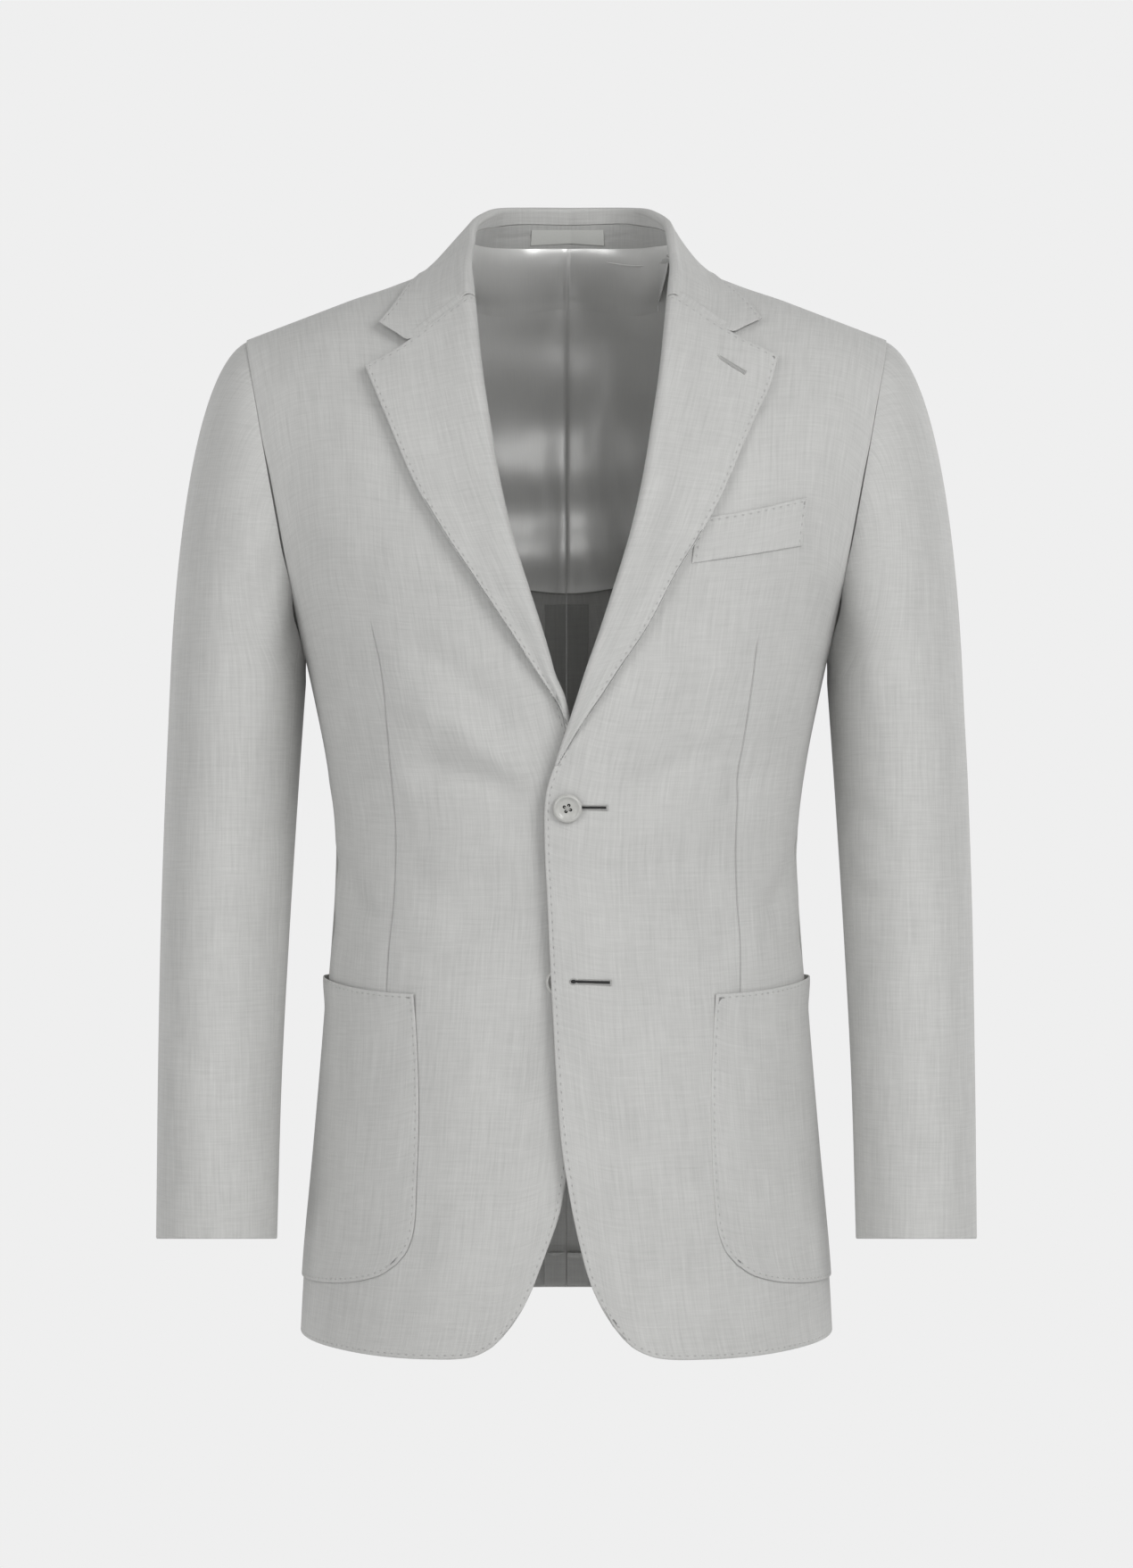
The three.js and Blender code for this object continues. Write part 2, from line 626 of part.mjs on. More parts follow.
/** A ring round the arm: turn is 0 outside, 90 degrees in front, 180 at the body. */
function sleeveRing(turn, z) {
  const row = ringAt(z);
  const tilt = Math.tan(radians(row.tilt));
  const forward = row.halfDepth * Math.sin(turn);
  return new THREE.Vector3(row.x + row.halfWidth * Math.cos(turn), row.y - forward, z + forward * tilt);
}
const SLEEVE_HEAD_SHARE = 0.45;
const BICEPS_Z = SLEEVE_RINGS[0].z;
const CUFF_Z = SLEEVE_RINGS[SLEEVE_RINGS.length - 1].z;
function sleeve(turn, w) {
  if (w >= SLEEVE_HEAD_SHARE) {
    return sleeveRing(turn, lerp(BICEPS_Z, CUFF_Z, (w - SLEEVE_HEAD_SHARE) / (1 - SLEEVE_HEAD_SHARE)));
  }
  const t = w / SLEEVE_HEAD_SHARE;
  const start = sleeveStart(turn);
  const end = sleeveRing(turn, BICEPS_Z);
  const length = start.distanceTo(end);
  const outside = (1 + Math.cos(turn)) / 2;
  const leave = new THREE.Vector3(
    lerp(LEAVE_UNDER.x, LEAVE_OVER.x, outside),
    -LEAVE_FORWARD * Math.sin(turn),
    lerp(LEAVE_UNDER.z, LEAVE_OVER.z, outside),
  );
  const arrive = new THREE.Vector3(HEAD_DRIFT * outside, 0, -1);
  leave.normalize().multiplyScalar(length * HEAD_FULLNESS);
  arrive.multiplyScalar(length * HEAD_FALL);
  const t2 = t * t;
  const t3 = t2 * t;
  return start.multiplyScalar(2 * t3 - 3 * t2 + 1)
    .addScaledVector(leave, t3 - 2 * t2 + t)
    .addScaledVector(end, 3 * t2 - 2 * t3)
    .addScaledVector(arrive, t3 - t2);
}
const SLEEVE_ROWS = [...[0, 0.1, 0.22, 0.38, 0.56, 0.78].map((t) => t * SLEEVE_HEAD_SHARE),
  ...steps(6, SLEEVE_HEAD_SHARE, 1)];
function sleevePiece(from, to, count, side) {
  const surface = (turn, w) => {
    const around = turn < 0 ? turn + 2 * Math.PI : turn;
    const point = sleeve(around, w);
    point.x *= side;
    return point;
  };
  const turns = steps(count, radians(from + SLEEVE_SEAM_TRIM), radians(to - SLEEVE_SEAM_TRIM));
  return wallOn(surface, turns, SLEEVE_ROWS, CLOTH, side);
}
for (const [name, side] of [['left', 1], ['right', -1]]) {
  add(`sleeve_top_${name}`, sleevePiece(BACK_SLEEVE_SEAM - 360, FRONT_SLEEVE_SEAM, 15, side));
  add(`sleeve_under_${name}`, sleevePiece(FRONT_SLEEVE_SEAM, BACK_SLEEVE_SEAM, 5, side));
}

// ======== lapels ========
const lapelEdgeAt = smooth(LAPEL_EDGE, 'w');
/** A table of x and z by u, leaning with the collar. */
function leaning(rows, side) {
  const at = smooth(rows, 'u');
  return (u) => {
    const { x, z } = at(u);
    return [x + lean(z, side), z];
  };
}
/** A flat direction from one point of the front view to another. */
function heading([x0, z0], [x1, z1]) {
  const length = Math.hypot(x1 - x0, z1 - z0);
  return [(x1 - x0) / length, (z1 - z0) / length];
}
const FOLD_TURNS = [-90, -50, -10, 30, 65].map(radians);
const LEAF_COLUMNS = [0, 0.08, 0.2, 0.38, 0.58, 0.79, 1];
const LAPEL_ROWS = [0, 0.07, 0.14, 0.25, 0.37, 0.5, 0.63, 0.75, 0.86, 0.94, 1];

function lapelPiece(side) {
  const drop = side < 0 ? LAPEL_TIP_DROP : 0;
  const lowered = ([x, z], share) => [x, z - drop * share];
  const crest = (w) => {
    const z = lapelEdgeAt(w).roll;
    return [edgeX(z, side), z];
  };
  const outer = (w) => {
    const { x, z } = lapelEdgeAt(w);
    return lowered([x + lean(z, side), z], w ** 3);
  };
  const toLeaf = (w) => heading(crest(w), outer(w));
  const inner = (w) => crest(w).map((x, k) => x + toLeaf(w)[k] * foldRadius(crest(w)[1]));
  const gorge = leaning(GORGE, side);
  const top = (u) => lowered(gorge(u), u * u).map((x, k) => x + (inner(1)[k] - gorge(0)[k]) * (1 - u));
  const bottom = (u) => inner(0).map((x, k) => lerp(x, outer(0)[k], u));
  const leaf = patch(inner, outer, bottom, top);
  const lift = (at) => (side > 0 ? overlap(...at) : 0);
  const grid = (drops) => LAPEL_ROWS.map((w) => {
    const radius = foldRadius(crest(w)[1]);
    const middle = radius - CLOTH;
    const fold = FOLD_TURNS.map((turn) => {
      const reach = radius - (radius - drops) * Math.cos(turn);
      const at = seen(...crest(w).map((x, k) => x + toLeaf(w)[k] * reach));
      return place(at, lift(at) + middle + (radius - drops) * Math.sin(turn));
    });
    const edge = lerp(LOW_LAPEL_HEIGHT, LAPEL_HEIGHT, smoothstep(0, 0.3, w));
    const flat = LEAF_COLUMNS.map((u) => {
      const at = seen(...leaf(u, w));
      return place(at, lift(at) + lerp(foldHeight(crest(w)[1]), edge, smoothstep(0, 0.6, u)) - drops);
    });
    return [...fold, ...flat].map((point) => point.setX(point.x * side));
  });
  return wallBetween(grid(0), grid(CLOTH));
}
for (const [name, side] of [['left', 1], ['right', -1]]) add(`lapel_${name}`, lapelPiece(side));

// ======== collar ========
/** Moves a point out until it stands height off the body. */
function laid(point, height) {
  const at = seen(point.x, point.z, point.y > 0);
  const along = outward(...at);
  const off = point.clone().sub(body(...at)).dot(along);
  return off < height ? point.clone().addScaledVector(along, height - off) : point;
}
const shifted = (points, side) => points.map(({ x, y, z }) => new THREE.Vector3(x + side * LEAN, y, z));
/** The collar's guiding curves on one side, from the middle of the back (0) to the front (1). */
function collarCurves(side) {
  const shift = side * LEAN;
  const onRoll = (z) => place(seen(edgeAt(z).x + shift, z), ROLL_CREST);
  const behind = ({ x, z }) => place(seen(x + shift, z, true), COLLAR_LOW);
  const before = ({ x, z, height }) => place(seen(x + shift, z), height);
  const foot = (x) => place(neckPoint(x + shift), -CLOTH / 2).add(new THREE.Vector3(0, 0, STAND_GAP));
  return {
    crest: new THREE.CatmullRomCurve3([...shifted(COLLAR_CREST, side), ...COLLAR_ON_ROLL.map(onRoll)]),
    edge: new THREE.CatmullRomCurve3([...COLLAR_EDGE_BACK.map(behind), ...COLLAR_EDGE_FRONT.map(before)]),
    neck: new THREE.CatmullRomCurve3([...NECK_SEAM_X.map(foot), ...shifted(STAND_FRONT, side)]),
    end: alongTable(COLLAR_END.map(({ u, x, z }) => ({ u, x: x + shift, z }))),
  };
}
const COLLAR = new Map([[1, collarCurves(1)], [-1, collarCurves(-1)]]);

/** The fold at u (0 behind, 1 in front): its crest, outward and leaf directions and radius. */
function collarFold(u, side) {
  const { crest, edge } = COLLAR.get(side);
  const top = crest.getPoint(u);
  const along = crest.getTangent(u);
  const leaf = edge.getPoint(u).sub(top).normalize();
  const out = along.clone().cross(leaf).normalize();
  leaf.copy(out).cross(along).normalize();
  const radius = lerp(COLLAR_RADIUS, ROLL_CREST + CLOTH, smoothstep(0.6, 0.95, u));
  return { top, out, leaf, radius };
}
/** The fold's face at a turn: -90 inside the neck, 0 on the crest, 90 outside. */
function foldPoint(u, side, turn, drop) {
  const { top, out, leaf, radius } = collarFold(u, side);
  return top.clone()
    .addScaledVector(leaf, radius - (radius - drop) * Math.cos(turn))
    .addScaledVector(out, (radius - drop) * Math.sin(turn));
}
/** The leaf's outer face, from the fold (t 0) down to its edge (t 1). */
function collarLeaf(u, side, t) {
  const { edge, end } = COLLAR.get(side);
  const start = foldPoint(u, side, Math.PI / 2, 0);
  const last = foldPoint(1, side, Math.PI / 2, 0).lerp(edge.getPoint(1), t);
  const bend = place(end(t), COLLAR_HEIGHT).sub(last).multiplyScalar(u ** 4 * smoothstep(0, 0.3, t));
  return laid(start.lerp(edge.getPoint(u), t).add(bend), lerp(COLLAR_LOW, COLLAR_HEIGHT, u ** 4));
}
function outwardNear(point) {
  return outward(...seen(point.x, point.z, point.y > 0));
}
const COLLAR_COLUMNS = steps(24, -1, 1);
const COLLAR_LEAF_ROWS = [0, 0.3, 0.65, 1];
function collarFall() {
  const grid = (drop) => COLLAR_COLUMNS.map((u) => {
    const side = Math.sign(u) || 1;
    const half = Math.abs(u);
    const { out } = collarFold(half, side);
    const fold = FOLD_TURNS.map((turn) => foldPoint(half, side, turn, drop));
    const leaf = COLLAR_LEAF_ROWS.map((t) => {
      const face = collarLeaf(half, side, t);
      return face.addScaledVector(out.clone().lerp(outwardNear(face), t).normalize(), -drop);
    });
    return [...fold, ...leaf].map((point) => point.setX(point.x * side));
  });
  return wallBetween(grid(0), grid(CLOTH));
}
add('collar_fall', collarFall());

const STAND_END = (COLLAR_CREST.length - 1) / (COLLAR_CREST.length + COLLAR_ON_ROLL.length - 1);
/** The stand's inner face: t is 0 at the neck seam and 1 just under the fold. */
function standFace(u, t) {
  const side = Math.sign(u) || 1;
  const half = Math.abs(u);
  const foot = COLLAR.get(side).neck.getPoint(Math.min(1, half / STAND_END));
  const { out, leaf } = collarFold(half, side);
  const head = foldPoint(half, side, -Math.PI / 2, 0).addScaledVector(leaf, SEAM_GAP * 2);
  const point = foot.lerp(head, t).addScaledVector(out, -STAND_BELLY * t * (1 - t));
  return point.setX(point.x * side);
}
const LABEL_COLUMNS = steps(4, -LABEL_SPAN - LABEL_SHIFT, LABEL_SPAN - LABEL_SHIFT);
const LABEL_ROWS = [0.22, 0.43, 0.64];
const STAND_COLUMNS = [
  ...steps(5, -STAND_END, LABEL_COLUMNS[0]).slice(0, -1),
  ...LABEL_COLUMNS,
  ...steps(5, LABEL_COLUMNS[4], STAND_END).slice(1),
];
add('collar_stand', wallOn(standFace, STAND_COLUMNS, [0, ...LABEL_ROWS, 1], CLOTH));

/** The bare label, on the stand's inner face. */
function labelPiece() {
  const lifted = (u, t) => {
    const across = standFace(u + 1e-3, t).sub(standFace(u - 1e-3, t));
    const up = standFace(u, t + 1e-3).sub(standFace(u, t - 1e-3));
    return standFace(u, t).addScaledVector(across.cross(up).normalize(), LABEL_LIFT);
  };
  return wallOn(lifted, LABEL_COLUMNS, LABEL_ROWS, LABEL_THICK);
}
add('neck_label', labelPiece(), 0x9fa39a, 0.7);

// ======== pockets ========
const WELT_RISE = smooth(WELT, 'u');
function weltPiece() {
  const coords = (u, w) => {
    const { x, top, bottom } = WELT_RISE(u);
    return seen(x - WELT_SLANT * (1 - w), lerp(bottom, top, w));
  };
  return wallOnBody(coords, steps(6), steps(2), () => PATCH_LIFT + CLOTH, CLOTH);
}
add('chest_welt', weltPiece());

const pocketBottom = smooth(POCKET_BOTTOM, 'u');
function pocketPiece(side) {
  const shift = side < 0 ? POCKET_SHIFT : 0;
  const pocketInner = alongTable(POCKET_INNER.map(({ w, x, z }) => ({ u: w, x: x + shift, z })));
  const foot = ({ angle, z }) => [radians(angle), hemV(z)];
  const bottom = (u) => foot(pocketBottom(u));
  const inner = (w) => {
    const [angle, v] = pocketInner(w);
    const corner = 1 - Math.min(1, w * 4);
    return [angle + (bottom(0)[0] - pocketInner(0)[0]) * corner, v];
  };
  const outer = (w) => [bottom(1)[0], lerp(bottom(1)[1], hemV(POCKET_TOP_SIDE_Z), w)];
  const top = (u) => {
    const [from, to] = [inner(1), outer(1)];
    return [lerp(from[0], to[0], u), lerp(from[1], to[1], smoothstep(0, POCKET_TOP_BEND, u))];
  };
  const columns = [0, 0.035, 0.09, 0.16, 0.25, ...steps(8, 0.34, 1)];
  const rows = [0, 0.05, 0.12, 0.22, 0.35, 0.5, 0.66, 0.83, 1];
  return wallOnBody(patch(inner, outer, bottom, top), columns, rows, () => PATCH_LIFT + CLOTH, CLOTH, side);
}
for (const [name, side] of [['left', 1], ['right', -1]]) add(`patch_pocket_${name}`, pocketPiece(side));

// ======== buttons ========
/** A flat button with a bevelled rim and four holes, its back at z 0. */
function buttonGeometry() {
  const circle = (radius, sides, x = 0, y = 0) => steps(sides).slice(1).map((turn) => new THREE.Vector2(
    x + radius * Math.cos(2 * Math.PI * turn),
    y + radius * Math.sin(2 * Math.PI * turn),
  ));
  const face = new THREE.Shape(circle(BUTTON_RADIUS - BUTTON_BEVEL, 24));
  for (const [x, y] of [[1, 1], [-1, 1], [-1, -1], [1, -1]]) {
    const [holeX, holeY] = [x * BUTTON_HOLE_PITCH / 2, y * BUTTON_HOLE_PITCH / 2];
    face.holes.push(new THREE.Path(circle(BUTTON_HOLE_RADIUS, 6, holeX, holeY)));
  }
  const geometry = new THREE.ExtrudeGeometry(face, {
    depth: BUTTON_THICK - 2 * BUTTON_BEVEL,
    bevelThickness: BUTTON_BEVEL,
    bevelSize: BUTTON_BEVEL,
    bevelSegments: 1,
  });
  return geometry.translate(0, 0, BUTTON_BEVEL);
}
function addButton(name, { x, z }, height) {
  const at = seen(x, z);
  const geometry = buttonGeometry();
  const upright = new THREE.Vector3(0, 0, 1);
  geometry.applyQuaternion(new THREE.Quaternion().setFromUnitVectors(upright, outward(...at)));
  geometry.translate(...place(at, height).toArray());
  add(name, geometry, 0xb9bab6, 0.35);
}
addButton('button_top', TOP_BUTTON, OVERLAP_LIFT + BUTTON_SHANK);
addButton('button_lower', LOWER_BUTTON, BUTTON_SHANK);

export default group;
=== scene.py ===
"""A light-grey suit jacket, filled out and hollow: the looks of its cloth, lining and buttons.

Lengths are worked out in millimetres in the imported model's own frame and put into metres when a
mesh is made. +X is the wearer's left, the front faces -Y and +Z is up.
"""
import math

import bpy
import numpy as np
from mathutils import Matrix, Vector


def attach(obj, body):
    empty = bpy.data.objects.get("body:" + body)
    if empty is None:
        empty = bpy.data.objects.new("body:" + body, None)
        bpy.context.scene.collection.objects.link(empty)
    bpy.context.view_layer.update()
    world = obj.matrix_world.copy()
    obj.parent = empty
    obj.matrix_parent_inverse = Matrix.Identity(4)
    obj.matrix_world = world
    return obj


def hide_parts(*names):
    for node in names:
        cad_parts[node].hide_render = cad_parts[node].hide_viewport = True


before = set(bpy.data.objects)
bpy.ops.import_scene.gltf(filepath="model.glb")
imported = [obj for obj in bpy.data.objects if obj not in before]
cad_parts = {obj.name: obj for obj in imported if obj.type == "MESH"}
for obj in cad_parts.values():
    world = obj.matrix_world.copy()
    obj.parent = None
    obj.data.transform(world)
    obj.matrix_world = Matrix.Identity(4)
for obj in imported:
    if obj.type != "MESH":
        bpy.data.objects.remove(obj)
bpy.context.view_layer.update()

bl_info = {
    "name": "Suit jacket",
    "version": (1, 0, 0),
    "blender": (4, 5, 0),
    "location": "3D Viewport > Sidebar > Jacket",
    "description": "Builds a two-button suit jacket's cloth, lining, stitches and buttons",
    "category": "Add Mesh",
}

MM = 0.001
SIDES = (("left", 1), ("right", -1))


# ======== tables ========
def table(names, *rows):
    """A table's rows as one array for each named column."""
    return dict(zip(names.split(), np.array(rows, float).T))


def smooth(columns, key):
    """The other columns as functions of the key column.

    Between two rows the curve is a cubic whose slope at each row is that of the line through the
    row's two neighbours. Past the first and last rows it is level.
    """
    at = columns[key]
    order = np.arange(len(at))
    before, after = np.maximum(order - 1, 0), np.minimum(order + 1, len(at) - 1)

    def found(value):
        k = np.clip(value, at[0], at[-1])
        i = np.clip(np.searchsorted(at, k, side="right") - 1, 0, len(at) - 2)
        span = at[i + 1] - at[i]
        t = (k - at[i]) / span
        out = {}
        for name, y in columns.items():
            slope = (y[after] - y[before]) / (at[after] - at[before])
            rise = y[i] + (y[i + 1] - y[i]) * t * t * (3 - 2 * t)
            out[name] = rise + span * t * (1 - t) * ((1 - t) * slope[i] - t * slope[i + 1])
        return out

    return found


# ---- the body ----
CHEST_Z = -275
ARMHOLE_RISE = 218
SHOULDER_X = 218
SHOULDER_Z = -57
SHOULDER_SLOPE = 0.38
SHOULDER_PAD = 1.2  # how far the shoulder pads lift the cloth, and where, across and up
PAD_ACROSS = (118, 150)
PAD_UP = (-110, -60)
FRONT_DRAPE = 2.4  # how much deeper the fronts' creases are than at the sides, and where that fades
DRAPE_FADE = (105, 150)
NECK_TOP = 41
NECK_REACH = 95
SECTION_POWER = 2.4
LEAN = 3
LEAN_TOP_Z = -250
LEAN_BOTTOM_Z = -345
FRONT_ROUND = 2.5
BACK_ROUND_SIDE = 2.9
BACK_ROUND_CENTRE = 6
BACK_ROUND_REACH = 120
NECK_HALF = 70
NECK_BACK = 79

TRUNK = table(
    "z half front back",
    (-740, 182, 139, 126),
    (-680, 178.5, 137, 122),
    (-610, 172, 132, 115),
    (-540, 166, 126, 106),
    (-480, 161.5, 121, 98),
    (-425, 158, 119, 94),
    (-384, 158.5, 122, 97),
    (-340, 164.5, 127, 104),
    (-300, 172.5, 129, 113),
    (-275, 178, 129, 118),
)
YOKE = table(
    "v half_front half_back front back armhole",
    (0, 178, 178, 129, 118, 178),
    (0.15, 190, 198, 130, 121, 184),
    (0.3, 208, 224, 129, 122, 190),
    (0.5, 230, 258, 126, 122, 198),
    (0.75, 250, 290, 122, 120, 208),
    (1, 262, 310, 118, 118, 218),
)

# ---- outlines, as seen from the front: x outwards from the middle, z up ----
FRONT_EDGE = table(
    "z x",
    (-713, 30), (-703, 23.5), (-687, 16), (-667, 10), (-635, 3), (-589, -4), (-510, -9),
    (-447, -12), (-385, -14.5), (-363, -13), (-342, -6.5), (-314, 2), (-278, 12), (-231, 27),
    (-195, 38), (-160, 46), (-124, 52), (-87, 57.5), (-50, 61.5), (-10, 65.5), (6, 68),
)
EDGE_CORNER_Z = FRONT_EDGE["z"][0]
OPENING_Z = -314
FRONT_HEM = {
    1: table(
        "u x z",
        (0, 30, -713), (0.02, 36, -721), (0.05, 45, -729), (0.1, 60, -735),
        (0.23, 90, -737), (0.38, 123, -737), (0.6, 157, -735), (1, 181.9, -731),
    ),
    -1: table(
        "u x z",
        (0, 35.4, -713), (0.02, 41.8, -721), (0.05, 50.5, -729), (0.1, 64, -735),
        (0.23, 92, -737), (0.38, 123, -737), (0.6, 157, -735), (1, 181.9, -731),
    ),
}
CORNER_CUT = 5.4  # how much further the right front's lower corner is cut away, and from where
CORNER_CUT_Z = (-630, -688)
HEM_SIDE_Z = -731
HEM_BACK_Z = -716
# Each lapel from its lower end to its point: the outer edge, and the height of the fold beside it.
LAPEL_EDGE = {
    1: table(
        "w x z roll",
        (0, -5.7, -347, -346), (0.046, 1.1, -334.6, -335), (0.084, 7.1, -324.3, -325),
        (0.128, 14, -312.8, -313), (0.172, 21.4, -301.2, -301), (0.256, 34.7, -279.3, -280),
        (0.351, 50.3, -254.4, -255), (0.48, 69.2, -219.5, -221), (0.57, 84, -196, -196),
        (0.68, 100, -166, -163), (0.82, 117, -126.4, -111), (0.922, 130.6, -97.8, -70),
        (1, 137.7, -75, -35.3),
    ),
    -1: table(
        "w x z roll",
        (0, -6, -348, -346), (0.09, 1.6, -321.6, -321), (0.12, 3.7, -312.9, -312),
        (0.16, 10, -302.4, -301), (0.23, 22.3, -285.1, -285), (0.34, 40.5, -257.5, -258),
        (0.48, 63.6, -222.6, -224), (0.6, 84, -192, -192), (0.716, 101.8, -161.5, -157),
        (0.864, 119.8, -120.5, -101), (1, 136, -82.5, -35.3),
    ),
}
# The lapel's top, out to its point, and the collar's end against it, out to the collar's point.
GORGE = {
    1: table(
        "u x z",
        (0, 67.5, -37.2), (0.28, 87, -48), (0.56, 106.5, -58.8), (0.7, 115, -63.5),
        (0.85, 125, -68.3), (1, 137.7, -75),
    ),
    -1: table(
        "u x z",
        (0, 67.5, -37.6), (0.28, 87.2, -51.8), (0.56, 106.9, -66), (0.7, 114, -71),
        (0.85, 124, -76.6), (1, 136, -82.5),
    ),
}
COLLAR_END = {
    1: table(
        "u x z",
        (0, 67.7, -36.9), (0.34, 87.2, -47.7), (0.68, 106.4, -58.3), (0.84, 116, -54.2),
        (1, 127.1, -48.5),
    ),
    -1: table(
        "u x z",
        (0, 67.7, -37.3), (0.34, 87.4, -51.5), (0.68, 106.6, -65.4), (0.84, 116, -60.2),
        (1, 127, -53),
    ),
}
FOLD_HEIGHT = table(
    "z height",
    (-350, 0.1), (-336, 1.6), (-318, 4.2), (-280, 6.6), (-234, 8.6), (-150, 9.6), (-80, 9), (-35, 8),
)
LAPEL_HEIGHT = {1: 4.2, -1: 6.4}
ROLL_HEIGHT = 8
LOW_LAPEL_HEIGHT = 2.6
LAPEL_END_Z = -340
STEP_BACK = 9
GORGE_REACH = 4.5
GORGE_SINK = 0.7
TUCK = 3.5  # the right front's edge slips this much further in under the left one, between these
TUCK_TOP_Z = (-283, -305)
TUCK_LOW_Z = (-420, -360)
FOLD_GAP = 0.6
CLOTH = 2
ROLL_CREST = (ROLL_HEIGHT - CLOTH) / 2

# ---- collar ----
COLLAR_CREST = np.array([
    (0, 74, 43.8), (28, 70.5, 43.6), (45.5, 57, 41.6), (55, 34, 36.4), (63.6, 9, 26.6), (65.5, -16, 11),
])
COLLAR_ON_ROLL = np.array([-12, -24, -35])
COLLAR_EDGE_BACK = table("x z", (0, 2), (30, 0), (60, -6), (82, -14.5), (91, -11.9))
COLLAR_EDGE_FRONT = {
    1: table(
        "x z height",
        (96.5, -12.2, 0.9), (101, -16.5, 0.9), (106.5, -22, 1.1), (112.5, -28.5, 1.7),
        (119.5, -37, 3.2), (127.1, -48.5, 4.2),
    ),
    -1: table(
        "x z height",
        (101, -11.2, 0.9), (105, -15.5, 0.9), (108.5, -20.5, 1.1), (112.5, -28, 1.7),
        (118.5, -40, 3.8), (127, -53, 6.4),
    ),
}
COLLAR_RADIUS = 3.2
COLLAR_LOW = 0.9
COLLAR_CLOTH = 0.9
COLLAR_BULGE = {1: -2.4, -1: 0.2}  # how far the fall bellies out beside the neck, up to BULGE_END
BULGE_END = 0.8
NECK_SEAM_X = np.array([0, 30, 50, 63])
STAND_FRONT = np.array([(71, 8, 4), (72, -16, 1)])
STAND_GAP = 1.4
STAND_BELLY = 3
STAND_UNDER = 0.15
FALL_INSIDE = 8.3  # how far the fall turns down inside, at the back of the neck
FALL_INSIDE_FRONT = 1.5
STAND_WRINKLES = table(
    "x0 z0 x1 z1 width depth bend",
    (-56, 20, -18, 26, 1.7, -0.55, 1.5), (-52, 30, -26, 31, 1.6, -0.5, -1), (-30, 19, 6, 21, 1.8, 0.4, 1),
    (14, 20, 54, 23, 1.7, -0.45, -1), (30, 31, 58, 29, 1.6, -0.5, 1), (-60, 24, -40, 29, 2, 0.5, 0),
)

# ---- what is sewn on ----
POCKET_INNER = table(
    "w x z",
    (0, 112, -676), (0.06, 104, -666), (0.14, 98.5, -649), (0.35, 95.5, -606), (0.65, 95, -560),
    (1, 98, -498),
)
POCKET_BOTTOM = table(
    "u angle z",
    (0, 35, -676), (0.07, 40, -684), (0.2, 50, -690), (0.4, 66, -693), (0.7, 90, -693),
    (1, 114, -691),
)
POCKET_TOP_SIDE_Z = -490
POCKET_TOP_BEND = 0.75
POCKET_SHIFT = 2.5
WELT = table(
    "u x top bottom", (0, 86, -184.6, -214), (0.5, 123, -177.9, -207.8), (1, 160.3, -168.3, -200.7),
)
WELT_SLANT = 4
PATCH_LIFT = 0.3
PATCH_CLOTH = 1.1
MOUTH_LIFT = 2.9  # how far a patch pocket's mouth stands open, from MOUTH_START up to its edge
MOUTH_START = 0.88
MOUTH_FRONT = 0.35  # the share of that lift at its front end
OVERLAP_LIFT = 7.4
OVERLAP_IN_X = 12
OVERLAP_OUT_X = 118
OVERLAP_TOP_Z = -150
LINING_DROP = 3.2
LABEL_SPAN = 0.112
LABEL_SHIFT = 0.012
LABEL_RISE = (0.37, 0.84)  # its lower and upper edges, as shares of the stand's height
LABEL_LIFT = 0.8
TOP_BUTTON = (0.6, -374)
LOWER_BUTTON = (-4.2, -489.5)
BUTTON_SHANK = 0.35

# ---- sleeves ----
SLEEVE_RINGS = table(
    "z x y half_width half_depth tilt",
    (-664.4, 235, -55.8, 40.5, 46.8, 5.6),
    (-555, 234.5, -32, 41.8, 51, 5),
    (-460, 232.5, -12, 43.7, 56, 3),
    (-365, 229, 4, 45.3, 62, 1),
    (-290, 225, 8, 46.3, 68, 0),
)
SLEEVE_OUT = 0.1
FRONT_SLEEVE_SEAM = 152
BACK_SLEEVE_SEAM = 242
LEAVE_UNDER = (0.15, -1)
LEAVE_OVER = (0.91, -0.42)
LEAVE_FORWARD = 0.35
HEAD_FULLNESS = 0.5
HEAD_FALL = 1.05
HEAD_DRIFT = 0.04
SLEEVE_HEAD_SHARE = 0.45
CUFF_Z, BICEPS_Z = SLEEVE_RINGS["z"][[0, -1]]

# ---- creases, listed. x and z as seen from the front; depth is negative in a trough ----
CREASE_FADE = 0.28  # the share of a crease's length over which it fades at each end
FRONT_CREASES = table(
    "x0 z0 x1 z1 width depth bend",
    (-20, -372, -116, -346, 12, -1.9, 5),
    (-26, -356, -120, -300, 13, 1.5, 6),
    (-24, -340, -112, -262, 12, -1.3, 7),
    (-18, -392, -104, -412, 13, 1.1, -4),
    (-20, -414, -86, -462, 14, -1.0, -5),
    (-164, -398, -126, -452, 7, -2.0, 4),
    (-170, -430, -142, -482, 7, -1.5, 3),
    (-160, -344, -126, -378, 10, 1.0, 4),
    (-190, -120, -160, -235, 17, -2.4, 6),
    (-150, -90, -135, -190, 16, 1.2, -4),
    (-118, -170, -140, -262, 14, -0.9, 5),
    (26, -362, 100, -330, 12, -1.4, 5),
    (30, -384, 112, -392, 14, 0.9, 4),
    (96, -322, 130, -366, 12, -1.3, 4),
    (150, -350, 122, -392, 10, 1.0, -4),
    (162, -386, 130, -452, 6, -2.2, -4),
    (170, -436, 148, -482, 7, -1.4, -3),
    (188, -120, 162, -225, 16, -2.0, -6),
    (138, -96, 128, -186, 15, 1.0, 4),
    (34, -424, 74, -500, 15, -1.2, 6),
    (52, -418, 96, -474, 14, 0.9, 6),
    (30, -530, 44, -650, 16, -0.8, 4),
    (-36, -500, -52, -640, 17, -0.8, -5),
    (-72, -540, -64, -660, 18, 0.8, -4),
    (70, -560, 84, -690, 18, 0.8, 3),
    (-66, -610, -88, -720, 18, 0.8, -3),
)
